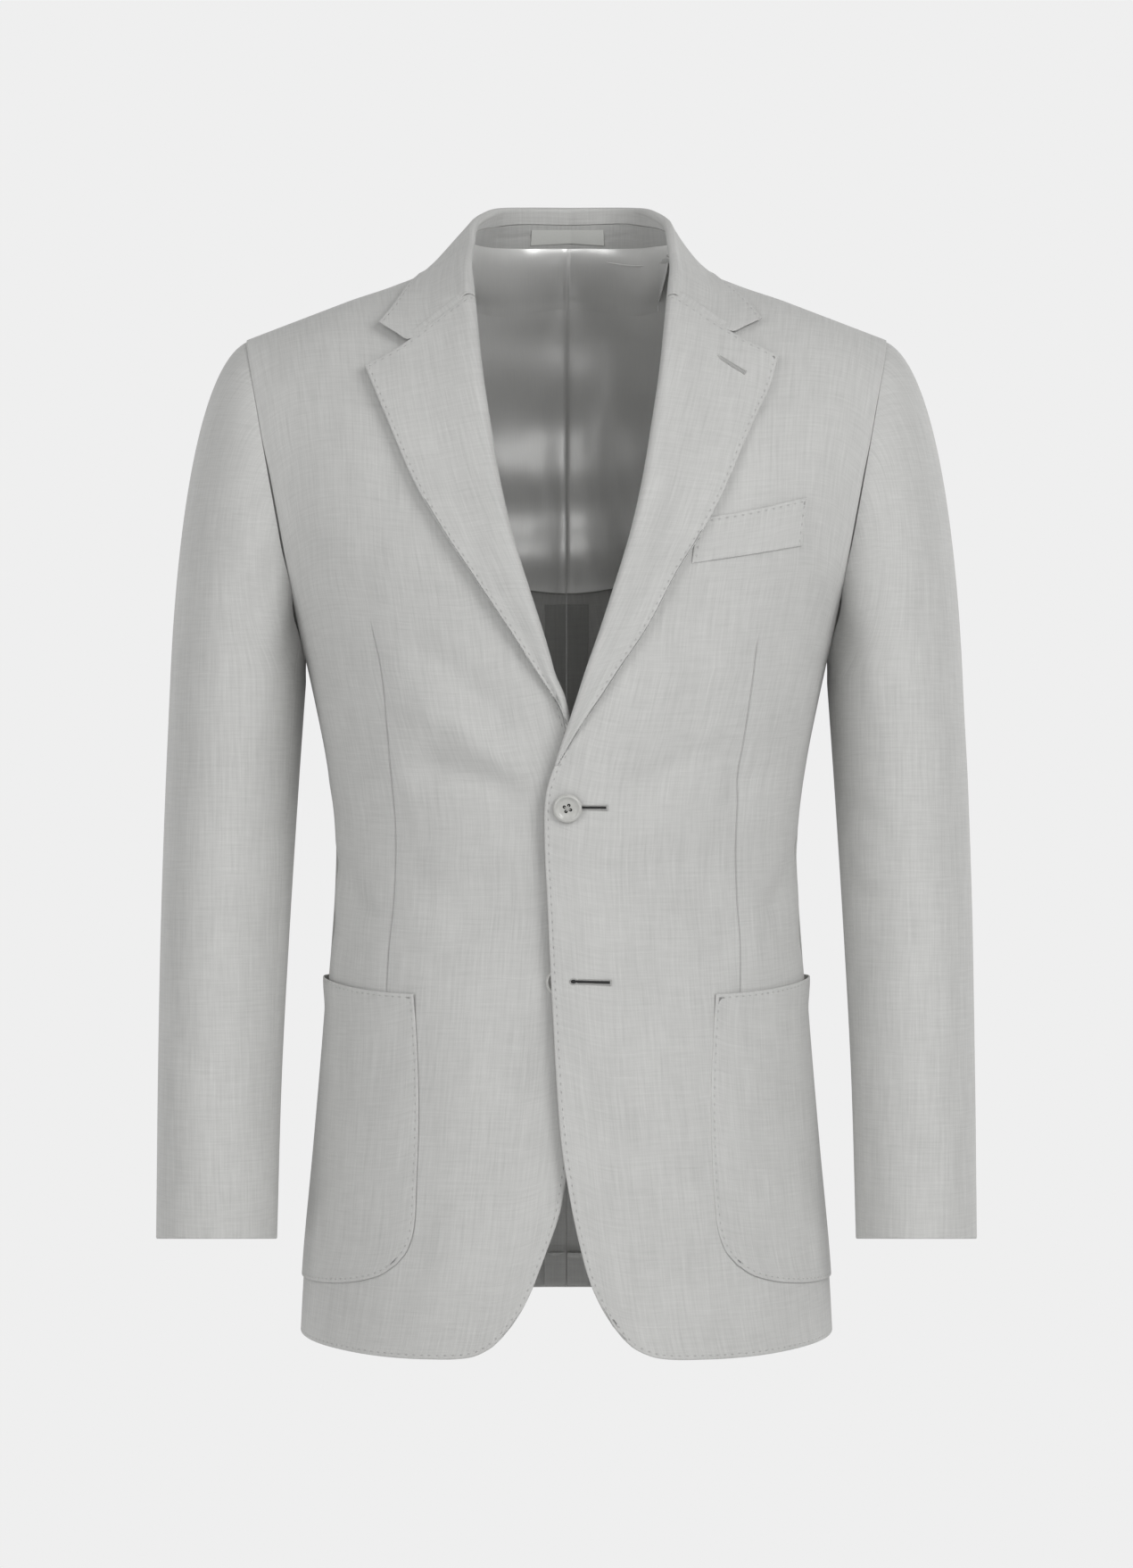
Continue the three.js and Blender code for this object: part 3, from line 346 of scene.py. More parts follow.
BACK_CREASES = table(
    "x0 z0 x1 z1 width depth bend",
    (-12, -400, -128, -360, 13, -1.5, 6),
    (10, -408, 120, -376, 12, -1.3, 5),
    (-16, -430, -118, -452, 12, -1.1, -5),
    (18, -440, 126, -462, 14, -1.2, -5),
    (-150, -385, -128, -452, 8, -1.8, 4),
    (152, -392, 132, -446, 8, -1.6, -4),
    (-178, -110, -150, -235, 18, -2.6, 8),
    (180, -115, 152, -240, 18, -2.4, -8),
    (-132, -150, -112, -290, 17, 1.3, 6),
    (134, -160, 112, -300, 17, 1.2, -6),
    (0, -90, 0, -700, 7, -1.2, 0),
    (-48, -540, -60, -712, 20, 1.2, -3),
    (52, -520, 62, -712, 22, 1.1, 3),
    (-110, -560, -122, -716, 18, -0.9, -3),
    (108, -570, 124, -716, 18, -0.9, 3),
    (-92, -36, 92, -36, 12, -1.2, -8),
)
LINING_FOLDS = table(
    "x0 z0 x1 z1 width depth bend",
    (-80, 4, -4, -16, 22, -2.4, 5),
    (6, 8, 82, -22, 20, -2.8, -5),
    (-95, -60, 40, -84, 26, -4.6, -7),
    (-80, -136, 70, -124, 25, -4.0, 8),
    (-95, -206, 95, -194, 21, -3.8, -5),
    (74, -30, 52, -240, 26, -4.4, 6),
)
# On a sleeve: turn is in degrees round it (0 outside, 90 in front, 180 at the body), and z its height.
SLEEVE_CREASES_LEFT = table(
    "turn0 z0 turn1 z1 width depth bend",
    (150, -150, 134, -300, 9, -1.5, 4),
    (128, -170, 116, -330, 10, 1.0, 4),
    (70, -190, 62, -330, 13, -0.8, 3),
    (172, -360, 96, -408, 11, -1.5, 6),
    (168, -410, 110, -440, 9, -1.2, -5),
    (60, -470, 128, -520, 14, -0.7, 6),
    (20, -300, 34, -520, 16, 0.7, 5),
    (-30, -180, -40, -330, 14, -1.4, 6),
    (-80, -380, -20, -430, 12, -1.4, 6),
    (210, -330, 262, -384, 12, -1.6, 6),
    (214, -450, 268, -470, 12, -1.4, -5),
    (-64, -560, -30, -640, 16, -0.8, 4),
)
SLEEVE_CREASES_RIGHT = table(
    "turn0 z0 turn1 z1 width depth bend",
    (152, -140, 138, -290, 8, -1.7, 4),
    (132, -150, 122, -350, 10, 1.3, 5),
    (112, -180, 100, -330, 8, -1.1, 4),
    (84, -160, 80, -300, 12, 0.7, 3),
    (170, -380, 104, -420, 12, -1.3, 6),
    (164, -446, 92, -470, 10, -0.9, -5),
    (48, -520, 118, -560, 14, -0.6, 6),
    (-26, -170, -36, -320, 14, -1.3, 6),
    (-84, -370, -24, -440, 12, -1.5, 6),
    (208, -340, 260, -372, 12, -1.4, 6),
    (212, -430, 264, -462, 12, -1.3, -5),
)
TURN_REACH = 52  # about how far out of the arm's middle its cloth is

# ---- darts: x and z as seen from the front ----
DARTS = {
    -1: table(
        "z x",
        (-501, -120.5), (-467, -118.5), (-432, -115), (-389, -114), (-352, -117), (-328, -119),
        (-298, -121.5), (-277, -124.5), (-247, -131.5),
    ),
    1: table(
        "z x",
        (-505, 115.5), (-467, 116), (-432, 113.5), (-389, 113), (-340, 117), (-317, 120),
        (-289, 124), (-268, 126.5), (-257, 128.5),
    ),
}


# ======== small sums ========
FIRST, LAST = np.array([0.0]), np.array([1.0])  # the two ends of a line that runs from 0 to 1


def blend(a, b, t):
    """From a to b as t goes from 0 to 1."""
    return a + (b - a) * t


def smoothstep(start, end, value):
    """0 up to start and 1 past end; between them 3t² - 2t³, where t is the share of the way."""
    t = np.clip((value - start) / (end - start), 0, 1)
    return t * t * (3 - 2 * t)


def shares(count):
    """Evenly spaced values from 0 to 1."""
    return np.linspace(0, 1, count)


def cubic(a, b, leave, arrive, t):
    """The cubic from a to b whose directions there are leave and arrive, as t goes from 0 to 1."""
    return (a * (2 * t ** 3 - 3 * t ** 2 + 1) + leave * (t ** 3 - 2 * t ** 2 + t)
            + b * (3 * t ** 2 - 2 * t ** 3) + arrive * (t ** 3 - t ** 2))


def unit(vectors):
    return vectors / np.maximum(np.linalg.norm(vectors, axis=-1, keepdims=True), 1e-12)


def dot(a, b):
    return np.sum(a * b, axis=-1)


trunk_at = smooth(TRUNK, "z")
yoke_at = smooth(YOKE, "v")
edge_at = smooth(FRONT_EDGE, "z")
fold_at = smooth(FOLD_HEIGHT, "z")
ring_at = smooth(SLEEVE_RINGS, "z")


# ======== the body's form ========
def ridge(x):
    """The shoulder line's height: straight outside the neck, and a cubic up to the middle inside."""
    side = np.abs(x)

    def line(at):
        return SHOULDER_Z + (SHOULDER_X - at) * SHOULDER_SLOPE

    t = np.minimum(side / NECK_REACH, 1)
    lift = blend(NECK_TOP, line(NECK_REACH), t * t * (3 - 2 * t))
    lift += t * t * (1 - t) * SHOULDER_SLOPE * NECK_REACH
    return np.where(side > NECK_REACH, line(side), lift)


def body(angle, v):
    """A point on the jacket's outer face.

    angle runs from the centre front to the wearer's left. v is 0 at the armpits, 1 on the shoulder
    line and negative below. A level section is a squared ellipse: x is the half width times
    sin(angle) to the power 2/2.4, y the depth times cos(angle). Above the armpits the depth shrinks
    with the root of 1 - v to a power, so that front and back meet on the shoulder line.
    """
    s, c = np.sin(angle), np.cos(angle)
    front = c >= 0
    high = np.clip(v, 0, 1)
    level = CHEST_Z + v * ARMHOLE_RISE
    trunk, yoke = trunk_at(level), yoke_at(high)
    below = v < 0
    half = np.where(below, trunk["half"], np.where(front, yoke["half_front"], yoke["half_back"]))
    x = np.sign(s) * half * np.abs(s) ** (2 / SECTION_POWER)
    z = np.where(below, level, CHEST_Z + v * (ridge(x) - CHEST_Z))
    back_round = blend(BACK_ROUND_CENTRE, BACK_ROUND_SIDE, smoothstep(0, BACK_ROUND_REACH, np.abs(x)))
    turn = np.sqrt(np.maximum(1 - high ** np.where(front, FRONT_ROUND, back_round), 0))
    deep = np.where(front, trunk["front"], trunk["back"])
    depth = np.where(below, deep, np.where(front, yoke["front"], yoke["back"]) * turn)
    return np.stack([x, -depth * c, z], axis=-1)


def outward(angle, v):
    """The outward direction, at right angles to two short steps on the body."""
    step = 1e-3
    level = np.minimum(v, 1 - 2e-4)
    near = np.minimum(step, (1 - level) / 2)
    across = body(angle + step, level) - body(angle - step, level)
    up = body(angle, level + near) - body(angle, level - near)
    return unit(np.cross(across, up))


def on_body(at):
    """The points of the body at coordinates that hold angle and v."""
    return body(at[..., 0], at[..., 1])


def place(at, height):
    """Points that stand off the body's outer face; at holds angle and v."""
    angle, v = at[..., 0], at[..., 1]
    return body(angle, v) + outward(angle, v) * np.asarray(height)[..., None]


def seen(x, z, behind=False):
    """The body's coordinates of points seen from the front, or from behind where that is true."""
    v = np.where(z < CHEST_Z, (z - CHEST_Z) / ARMHOLE_RISE, (z - CHEST_Z) / (ridge(x) - CHEST_Z))
    yoke = yoke_at(np.clip(v, 0, 1))
    above = np.where(behind, yoke["half_back"], yoke["half_front"])
    half = np.where(v < 0, trunk_at(z)["half"], above)
    turn = np.arcsin(np.minimum(np.abs(x / half) ** (SECTION_POWER / 2), 1))
    sign = np.where(x < 0, -1, 1)
    return np.stack([sign * np.where(behind, np.pi - turn, turn), np.minimum(v, 1)], axis=-1)


def armhole(turn):
    """The armhole: turn is 0 at the shoulder and 180 degrees at the armpit, in front up to there."""
    v = (1 + np.cos(turn)) / 2
    row = yoke_at(v)
    in_front = turn <= np.pi
    half = np.where(in_front, row["half_front"], row["half_back"])
    angle = np.arcsin(np.minimum((row["armhole"] / half) ** (SECTION_POWER / 2), 1))
    return np.stack([np.where(in_front, angle, np.pi - angle), v], axis=-1)


def overlap(point):
    """How far the left front is lifted, at points on the body, to lie over the right one."""
    near_edge = smoothstep(OVERLAP_OUT_X, OVERLAP_IN_X, point[..., 0])
    return OVERLAP_LIFT * near_edge * smoothstep(OVERLAP_TOP_Z, OPENING_Z, point[..., 2])


def creased(across, up, creases, names=("x0", "z0", "x1", "z1")):
    """The height that the creases give.

    Each is a bell-shaped ridge or trough along a bent line from its first end to its second: the
    depth times exp(-(distance/width) squared), fading out over a share of its length at each end.
    """
    height = np.zeros(np.broadcast(across, up).shape)
    rows = zip(*(creases[name] for name in names), creases["width"], creases["depth"], creases["bend"])
    for x0, z0, x1, z1, width, depth, bend in rows:
        length = math.hypot(x1 - x0, z1 - z0)
        dx, dz = (x1 - x0) / length, (z1 - z0) / length
        along = ((across - x0) * dx + (up - z0) * dz) / length
        off = (across - x0) * dz - (up - z0) * dx - bend * 4 * along * (1 - along)
        fade = smoothstep(0, CREASE_FADE, along) * smoothstep(1, 1 - CREASE_FADE, along)
        height += depth * fade * np.exp(-((off / width) ** 2))
    return height


def crease_strength():
    """How deep the creases are, as set in the panel."""
    return bpy.context.scene.suit_jacket.creases


def relief(point, side=1):
    """The height of creases and shoulder pads at points of the body.

    The points are on the wearer's left; side -1 takes the creases of the right half in their place.
    """
    x, z = point[..., 0] * side, point[..., 2]
    front = blend(FRONT_DRAPE, 1, smoothstep(*DRAPE_FADE, np.abs(x))) * creased(x, z, FRONT_CREASES)
    back = creased(x, z, BACK_CREASES)
    padding = SHOULDER_PAD * smoothstep(*PAD_ACROSS, np.abs(x)) * smoothstep(*PAD_UP, z)
    return padding + crease_strength() * np.where(point[..., 1] < 0, front, back)


# ======== grids, walls and meshes ========
def patch(inner, outer, bottom, top, u, w):
    """A grid between four border functions.

    The two pairs of borders are blended straight across and added, and the blend of the four
    corners is taken away once.
    """
    across, up = u[None, :, None], w[:, None, None]
    sides = (1 - across) * inner(w)[:, None] + across * outer(w)[:, None]
    ends = (1 - up) * bottom(u)[None] + up * top(u)[None]
    low = (1 - across) * bottom(FIRST) + across * bottom(LAST)
    high = (1 - across) * top(FIRST) + across * top(LAST)
    return sides + ends - (1 - up) * low - up * high


def grid_normals(face):
    """The grid's normals: the way along its rows crossed with the way up its columns."""
    across = np.gradient(face, axis=1)
    up = np.gradient(face, axis=0)
    return unit(np.cross(across, up))


def running(face, axis):
    """The distance along a grid's rows or columns, from its middle line."""
    gaps = np.linalg.norm(np.diff(face, axis=axis), axis=-1)
    first = np.zeros_like(np.take(gaps, [0], axis=axis))
    total = np.concatenate([first, np.cumsum(gaps, axis=axis)], axis=axis)
    middle = np.take(total, [total.shape[axis] // 2], axis=axis)
    return total - middle


CORE = (0, 0, -400)  # inside the body, inside the neck and inside an arm: faces look away from these
NECK_CORE = (0, 20, 20)
ARM_CORE = (228, 0, -400)


def facing(face, centre=CORE, inward=False):
    """The grid with its columns turned round if its normals don't point away from the centre."""
    away = np.sum(grid_normals(face) * (face - np.asarray(centre)))
    return face[:, ::-1] if (away < 0) != inward else face


def border(rows, columns):
    """The indices of a grid's border, once round: bottom, right side, top and left side."""
    index = np.arange(rows * columns).reshape(rows, columns)
    return np.concatenate([index[0, :-1], index[:-1, -1], index[-1, :0:-1], index[:0:-1, 0]])


RIM_TURNS = np.radians([60, 25, 0])
ROUNDEST = 0.47  # the largest rounding, as a share of the thickness


def wall(face, thickness, rounding):
    """A closed wall behind a grid: its points, faces and, for each point, the grid point it is from.

    The rim is a quarter circle at the face, a short flat and a quarter circle at the back. rounding
    is the circles' radius on the bottom, right, top and left sides.
    """
    rows, columns = face.shape[:2]
    normal = grid_normals(face)
    back = face - normal * thickness
    loop = border(rows, columns)
    count = rows * columns
    edge, edge_normal = face.reshape(-1, 3)[loop], normal.reshape(-1, 3)[loop]
    i, j = np.divmod(loop, columns)
    inner = face[np.clip(i, 1, rows - 2), np.clip(j, 1, columns - 2)]
    out = unit(np.cross(np.roll(edge, -1, 0) - np.roll(edge, 1, 0), edge_normal))
    out *= np.sign(dot(out, edge - inner))[:, None]
    sizes = [columns - 1, rows - 1, columns - 1, rows - 1]
    radius = np.repeat(rounding, sizes).astype(float)
    for _ in range(2):
        radius = (np.roll(radius, 1) + radius + np.roll(radius, -1)) / 3
    radius = np.minimum(radius, ROUNDEST * thickness)[:, None]

    def rim(turn, sunk, sense):
        shift = out * radius * (np.cos(turn) - 1) + edge_normal * radius * np.sin(turn) * sense
        return edge + shift - edge_normal * sunk

    face_border = rim(np.pi / 2, radius, 1)
    back_border = rim(np.pi / 2, thickness - radius, -1)
    rings = [rim(turn, radius, 1) for turn in RIM_TURNS]
    rings += [rim(turn, thickness - radius, -1) for turn in RIM_TURNS[::-1]]
    points = np.concatenate([face.reshape(-1, 3), back.reshape(-1, 3), *rings])
    points[loop] = face_border
    points[count + loop] = back_border
    source = np.concatenate([np.arange(count), np.arange(count), *([loop] * len(rings))])

    grid = np.arange(count).reshape(rows, columns)
    quads = np.stack([grid[:-1, :-1], grid[:-1, 1:], grid[1:, 1:], grid[1:, :-1]], -1).reshape(-1, 4)
    faces = [quads, quads[:, ::-1] + count]
    ring_index = [loop]
    ring_index += [2 * count + k * len(loop) + np.arange(len(loop)) for k in range(len(rings))]
    ring_index.append(count + loop)
    for a, b in zip(ring_index[:-1], ring_index[1:]):
        faces.append(np.stack([a, b, np.roll(b, -1), np.roll(a, -1)], -1))
    return points, np.concatenate(faces), source


def make_piece(name, points, faces, material, node=None, sharp=None, uv=None, layers=None):
    """A piece from points in millimetres, with its cloth map and named layers of three values.

    Edges that bend by more than sharp degrees stay crisp.
    """
    mesh = bpy.data.meshes.new(name)
    mesh.from_pydata((points * MM).tolist(), [], faces)
    mesh.polygons.foreach_set("use_smooth", np.ones(len(mesh.polygons), bool))
    if sharp:
        mesh.set_sharp_from_angle(angle=math.radians(sharp))
    if uv is not None:
        corners = np.empty(len(mesh.loops), int)
        mesh.loops.foreach_get("vertex_index", corners)
        map_layer = mesh.uv_layers.new(name="cloth")
        map_layer.uv.foreach_set("vector", (uv * MM)[corners].ravel())
    for key, values in (layers or {}).items():
        layer = mesh.attributes.new(key, "FLOAT_VECTOR", "POINT")
        layer.data.foreach_set("vector", values.ravel())
    mesh.materials.append(material)
    mesh.update()
    mesh.validate()
    piece = bpy.data.objects.new(name, mesh)
    bpy.context.scene.collection.objects.link(piece)
    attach(piece, "root")
    if node:
        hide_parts(node)
    return piece


SEAM_ROUND = 0.25
FREE_ROUND = 0.95
GRAIN_SHIFT = 137.0  # moves each piece's threads on, so that no two pieces are woven alike


def make_cloth(name, face, material, node=None, thickness=CLOTH,
               rounding=None, edges="", stitched=None, dart=None):
    """A cloth wall from its outer grid.

    edges names the stitched sides (b, r, t, l), whose distance goes into the layer stitch_edge.
    stitched gives how deep the stitches lie at a height z.
    """
    points, faces, source = wall(face, thickness, rounding or [SEAM_ROUND] * 4)
    count = face.shape[0] * face.shape[1]
    number = len(bpy.data.meshes)
    uv = np.stack([running(face, 1), running(face, 0)], -1).reshape(-1, 2) + number * GRAIN_SHIFT
    layers = {}
    front = np.arange(len(points)) < count
    stitch = edge_layer(face, edges)
    if stitched:
        stitch[:, 2] = stitched(face[..., 2]).ravel()
    for key, values in (("stitch_edge", stitch), ("dart", dart)):
        if values is not None:
            layers[key] = values.reshape(-1, 3)[source] * front[:, None]
    piece = make_piece(name, points, faces.tolist(), material, node, uv=uv[source], layers=layers)


def side_line(face, side):
    """One side of a grid as a line of points."""
    return {"b": face[0], "r": face[:, -1], "t": face[-1], "l": face[:, 0]}[side]


def edge_layer(face, edges):
    """For each grid point: its distance from the nearest stitched side, how far along, and 1."""
    if not edges:
        return None
    points = face.reshape(-1, 3)
    best = np.full(len(points), 1e9)
    along = np.zeros(len(points))
    passed = 0.0
    for side in edges:
        line = side_line(face, side)
        way = unit(np.gradient(line, axis=0))
        length = np.concatenate([[0], np.cumsum(np.linalg.norm(np.diff(line, axis=0), axis=-1))])
        square = dot(points, points)[:, None] + dot(line, line)[None] - 2 * points @ line.T
        nearest = np.argmin(square, axis=1)
        gap = points - line[nearest]
        on = dot(gap, way[nearest])
        distance = np.linalg.norm(gap - on[:, None] * way[nearest], axis=-1)
        closer = distance < best
        best = np.where(closer, distance, best)
        along = np.where(closer, passed + length[nearest] + on, along)
        passed += length[-1]
    return np.stack([best, along, np.ones(len(points))], -1)


# ======== materials ========
def new_group(name, inputs, outputs):
    """An empty shader node group with its named sockets, and its input and output nodes."""
    group = bpy.data.node_groups.new(name, "ShaderNodeTree")
    for socket, kind, default in inputs:
        made = group.interface.new_socket(socket, in_out="INPUT", socket_type=kind)
        if default is not None:
            made.default_value = default
    for socket, kind in outputs:
        group.interface.new_socket(socket, in_out="OUTPUT", socket_type=kind)
    return group, group.nodes.new("NodeGroupInput"), group.nodes.new("NodeGroupOutput")


def fill(tree, socket, value):
    """Link an input to another node's output, or give it a plain value."""
    if isinstance(value, bpy.types.NodeSocket):
        tree.links.new(value, socket)
    else:
        socket.default_value = value


def add_node(tree, kind, **inputs):
    """A shader node of a kind, with some of its inputs filled."""
    made = tree.nodes.new("ShaderNode" + kind)
    for name, value in inputs.items():
        fill(tree, made.inputs[name], value)
    return made


def sums(tree):
    """A short way to add a math node: sums(tree)("MULTIPLY", a, b) gives its output."""
    def node(operation, *values, clamp=False):
        made = add_node(tree, "Math")
        made.operation = operation
        made.use_clamp = clamp
        for socket, value in zip(made.inputs, values):
            fill(tree, socket, value)
        return made.outputs[0]
    return node


def noise(tree, vector, scale, stretch=(1, 1, 1), detail=2.0, roughness=0.5):
    """Noise whose coordinates are first stretched."""
    stretched = add_node(tree, "Mapping", Scale=stretch, Vector=vector).outputs[0]
    made = add_node(tree, "TexNoise", Scale=scale, Detail=detail, Roughness=roughness, Vector=stretched)
    return made.outputs["Fac"]


def cloth_map(tree):
    """The cloth's own map, in metres across and along its threads."""
    made = add_node(tree, "UVMap")
    made.uv_map = "cloth"
    return made.outputs["UV"]


def mixed(tree, factor, a, b):
    """Two colours mixed by a factor."""
    made = add_node(tree, "Mix")
    made.data_type = "RGBA"
    for name, value in (("Factor", factor), ("A", a), ("B", b)):
        fill(tree, made.inputs[name], value)
    return made.outputs["Result"]


def weave_group():
    """Plain weave with uneven threads: long thin noise both ways, and a fine crossing of threads.

    Tone is near 0.5 with threads a little lighter and darker. Height follows the threads.
    """
    name = "Slubby plain weave"
    if name in bpy.data.node_groups:
        return bpy.data.node_groups[name]
    group, start, end = new_group(
        name,
        [("Vector", "NodeSocketVector", None), ("Pitch", "NodeSocketFloat", 0.0006)],
        [("Tone", "NodeSocketFloat"), ("Height", "NodeSocketFloat")],
    )
    add = sums(group)
    place_in = start.outputs["Vector"]
    warp = noise(group, place_in, 1100, (1, 0.04, 1), 2, 0.6)
    weft = noise(group, place_in, 1100, (0.05, 1, 1), 2, 0.6)
    warp_slub = noise(group, place_in, 520, (1, 0.035, 1), 2, 0.5)
    weft_slub = noise(group, place_in, 500, (0.05, 1, 1), 1, 0.5)
    cloud = noise(group, place_in, 30, (1, 0.6, 1), 2, 0.5)
    split = add_node(group, "SeparateXYZ", Vector=place_in)
    around = add("DIVIDE", 2 * math.pi, start.outputs["Pitch"])
    over = add("SINE", add("MULTIPLY", split.outputs[0], around))
    under = add("SINE", add("MULTIPLY", split.outputs[1], around))
    crossing = add("MULTIPLY", over, under)
    threads = add("ADD", add("MULTIPLY", warp, 1.1), add("MULTIPLY", weft, 0.9))
    slubs = add("ADD", add("MULTIPLY", warp_slub, 1.3), add("MULTIPLY", weft_slub, 0.7))
    tone = add("ADD", add("MULTIPLY", threads, 0.5), add("MULTIPLY", slubs, 0.42))
    tone = add("ADD", tone, add("MULTIPLY", cloud, 0.34))
    tone = add("SUBTRACT", tone, 0.59)
    height = add("ADD", add("MULTIPLY", threads, 0.5), add("MULTIPLY", slubs, 0.5))
    height = add("ADD", height, add("MULTIPLY", crossing, 0.16))
    group.links.new(tone, end.inputs["Tone"])
    group.links.new(height, end.inputs["Height"])
    return group


STITCH_WIDTH = 0.42  # of a stitch's dimple and of a dart's line, across
STITCH_SHARPNESS = 6.0


def stitch_group():
    """The dimples of hand stitches along an edge, and the groove of a dart.

    A dimple is a bell across the line at its inset, times a short bell at each step along it.
    """
    name = "Stitched edge"
    if name in bpy.data.node_groups:
        return bpy.data.node_groups[name]
    group, start, end = new_group(
        name,
        [("Edge", "NodeSocketVector", None), ("Dart", "NodeSocketVector", None),
         ("Inset", "NodeSocketFloat", 2.4), ("Step", "NodeSocketFloat", 5.6)],
        [("Dimple", "NodeSocketFloat"), ("Groove", "NodeSocketFloat")],
    )
    add = sums(group)
    edge = add_node(group, "SeparateXYZ", Vector=start.outputs["Edge"])
    off = add("DIVIDE", add("SUBTRACT", edge.outputs[0], start.outputs["Inset"]), STITCH_WIDTH)
    across = add("EXPONENT", add("MULTIPLY", add("MULTIPLY", off, off), -1.0))
    step = add("DIVIDE", edge.outputs[1], start.outputs["Step"])
    part = add("MULTIPLY", add("SUBTRACT", add("FRACT", step), 0.5), STITCH_SHARPNESS)
    bead = add("EXPONENT", add("MULTIPLY", add("MULTIPLY", part, part), -1.0))
    dimple = add("MULTIPLY", add("MULTIPLY", across, bead), edge.outputs[2])
    dart = add_node(group, "SeparateXYZ", Vector=start.outputs["Dart"])
    aside = add("DIVIDE", dart.outputs[0], STITCH_WIDTH)
    line = add("EXPONENT", add("MULTIPLY", add("MULTIPLY", aside, aside), -1.0))
    group.links.new(dimple, end.inputs["Dimple"])
    group.links.new(add("MULTIPLY", line, dart.outputs[1]), end.inputs["Groove"])
    return group


def new_material(name, roughness, sheen=0.0, specular=0.5):
    """An empty material with a Principled shader; values the same all over sit on its sockets."""
    material = bpy.data.materials.new(name)
    material.use_nodes = True
    shader = material.node_tree.nodes["Principled BSDF"]
    for socket, value in (("Roughness", roughness), ("Sheen Weight", sheen),
                          ("Sheen Roughness", 0.5), ("Specular IOR Level", specular)):
        shader.inputs[socket].default_value = value
    return material, material.node_tree, shader


def toned(tree, factor, colour, spread):
    """A colour made darker to lighter by a factor from 0 to 1."""
    dark = (*(c * (1 - spread) for c in colour), 1)
    light = (*(min(1, c * (1 + spread)) for c in colour), 1)
    return mixed(tree, factor, dark, light)


def bump(tree, height, strength, distance, **under):
    """The normal of a bumpy surface, on top of another one's Normal if that is given."""
    made = add_node(tree, "Bump", Strength=strength, Distance=distance, Height=height, **under)
    return made.outputs["Normal"]


# Painted shade: stitch dimples and dart grooves are darkened to this share of the cloth's colour.
PAINTED_SHADE_IN_GROOVES = 0.35  # the cloth's colour down in a stitch or a dart, against its own


def cloth_material(name="Suit cloth", shade=1.0):
    """Matt slubby plain weave, with the dimples of stitched edges and the darts' grooves, bumped and
    darkened with painted shade.

    shade multiplies the colour: painted shade for cloth that lies inside or under other cloth.
    """
    if name in bpy.data.materials:
        return bpy.data.materials[name]
    look = bpy.context.scene.suit_jacket
    material, tree, shader = new_material(name, 0.88, sheen=look.sheen, specular=0.25)
    add = sums(tree)
    weave = tree.nodes.new("ShaderNodeGroup")
    weave.node_tree = weave_group()
    weave.inputs["Pitch"].default_value = look.thread_pitch * 2
    tree.links.new(cloth_map(tree), weave.inputs["Vector"])
    stitched = tree.nodes.new("ShaderNodeGroup")
    stitched.node_tree = stitch_group()
    for key, socket in (("stitch_edge", "Edge"), ("dart", "Dart")):
        layer = tree.nodes.new("ShaderNodeAttribute")
        layer.attribute_name = key
        tree.links.new(layer.outputs["Vector"], stitched.inputs[socket])
    # Painted shade: a shade below 1 darkens the whole cloth colour.
    base = [value * shade for value in look.cloth_colour]
    colour = toned(tree, weave.outputs["Tone"], base, look.slub_contrast)
    # Painted shade down in the stitches' dimples and the darts' grooves, mixed into the colour.
    sunk = add("ADD", add("MULTIPLY", stitched.outputs["Dimple"], 0.22),
               add("MULTIPLY", stitched.outputs["Groove"], 0.14), clamp=True)
    pressed = mixed(tree, sunk, colour, (*(c * PAINTED_SHADE_IN_GROOVES for c in look.cloth_colour), 1))
    tree.links.new(pressed, shader.inputs["Base Color"])
    threads = bump(tree, weave.outputs["Height"], 0.25, 0.00035)
    dip = add("ADD", add("MULTIPLY", stitched.outputs["Dimple"], -0.6),
              add("MULTIPLY", stitched.outputs["Groove"], -1.0))
    tree.links.new(bump(tree, dip, 1.0, 0.0007, Normal=threads), shader.inputs["Normal"])
    return material


def lining_material():
    """Smooth satin with very fine threads and soft uneven puckers."""
    name = "Satin lining"
    if name in bpy.data.materials:
        return bpy.data.materials[name]
    look = bpy.context.scene.suit_jacket
    material, tree, shader = new_material(name, 0.38, specular=0.6)
    shader.inputs["Metallic"].default_value = 0.4
    where = cloth_map(tree)
    threads = noise(tree, where, 2400, (1, 0.02, 1))
    pucker = noise(tree, where, 24, (1, 0.35, 1))
    tree.links.new(toned(tree, threads, look.lining_colour, 0.05), shader.inputs["Base Color"])
    fine = bump(tree, threads, 0.12, 0.0002)
    tree.links.new(bump(tree, pucker, 0.6, 0.004, Normal=fine), shader.inputs["Normal"])
    return material


def plain_material(name, colour, roughness, spread=0.06, grain=800.0, depth=0.0001, specular=0.5):
    """One colour with a little fine grain, for buttons, thread, label, the floor, and the painted shade in
    slits and under the buttons.
    """
    if name in bpy.data.materials:
        return bpy.data.materials[name]
    material, tree, shader = new_material(name, roughness, specular=specular)
    grains = noise(tree, add_node(tree, "TexCoord").outputs["Object"], grain, detail=3)
    tree.links.new(toned(tree, grains, colour, spread), shader.inputs["Base Color"])
    tree.links.new(bump(tree, grains, 0.2, depth), shader.inputs["Normal"])
    return material


# ======== the panels ========
CHEST_ROW = 0.6  # the share of a panel's rows that lies below the armpits
TRIM = 0.05
ANGLE_GAP = TRIM / 150
CENTRE_GAP = 1e-5
SHOULDER_GAP = 1e-7
NECK_COLUMN = 0.36
SIDE_TOP_TURN = math.radians(215)
SIDE_SEAM_HEM = math.radians(124)
ARMPIT_DROP = 0.001
TRUNK_STEPS = 146
YOKE_STEPS = 96


def panel_rows(low=0.0):
    """Rows from the hem to the shoulder, as close together below the armpits as above."""
    trunk = np.linspace(0, CHEST_ROW, TRUNK_STEPS, endpoint=False)
    rows = np.concatenate([trunk, np.linspace(CHEST_ROW, 1, YOKE_STEPS)])
    return np.concatenate([[low], rows[rows > low + 1e-6]])


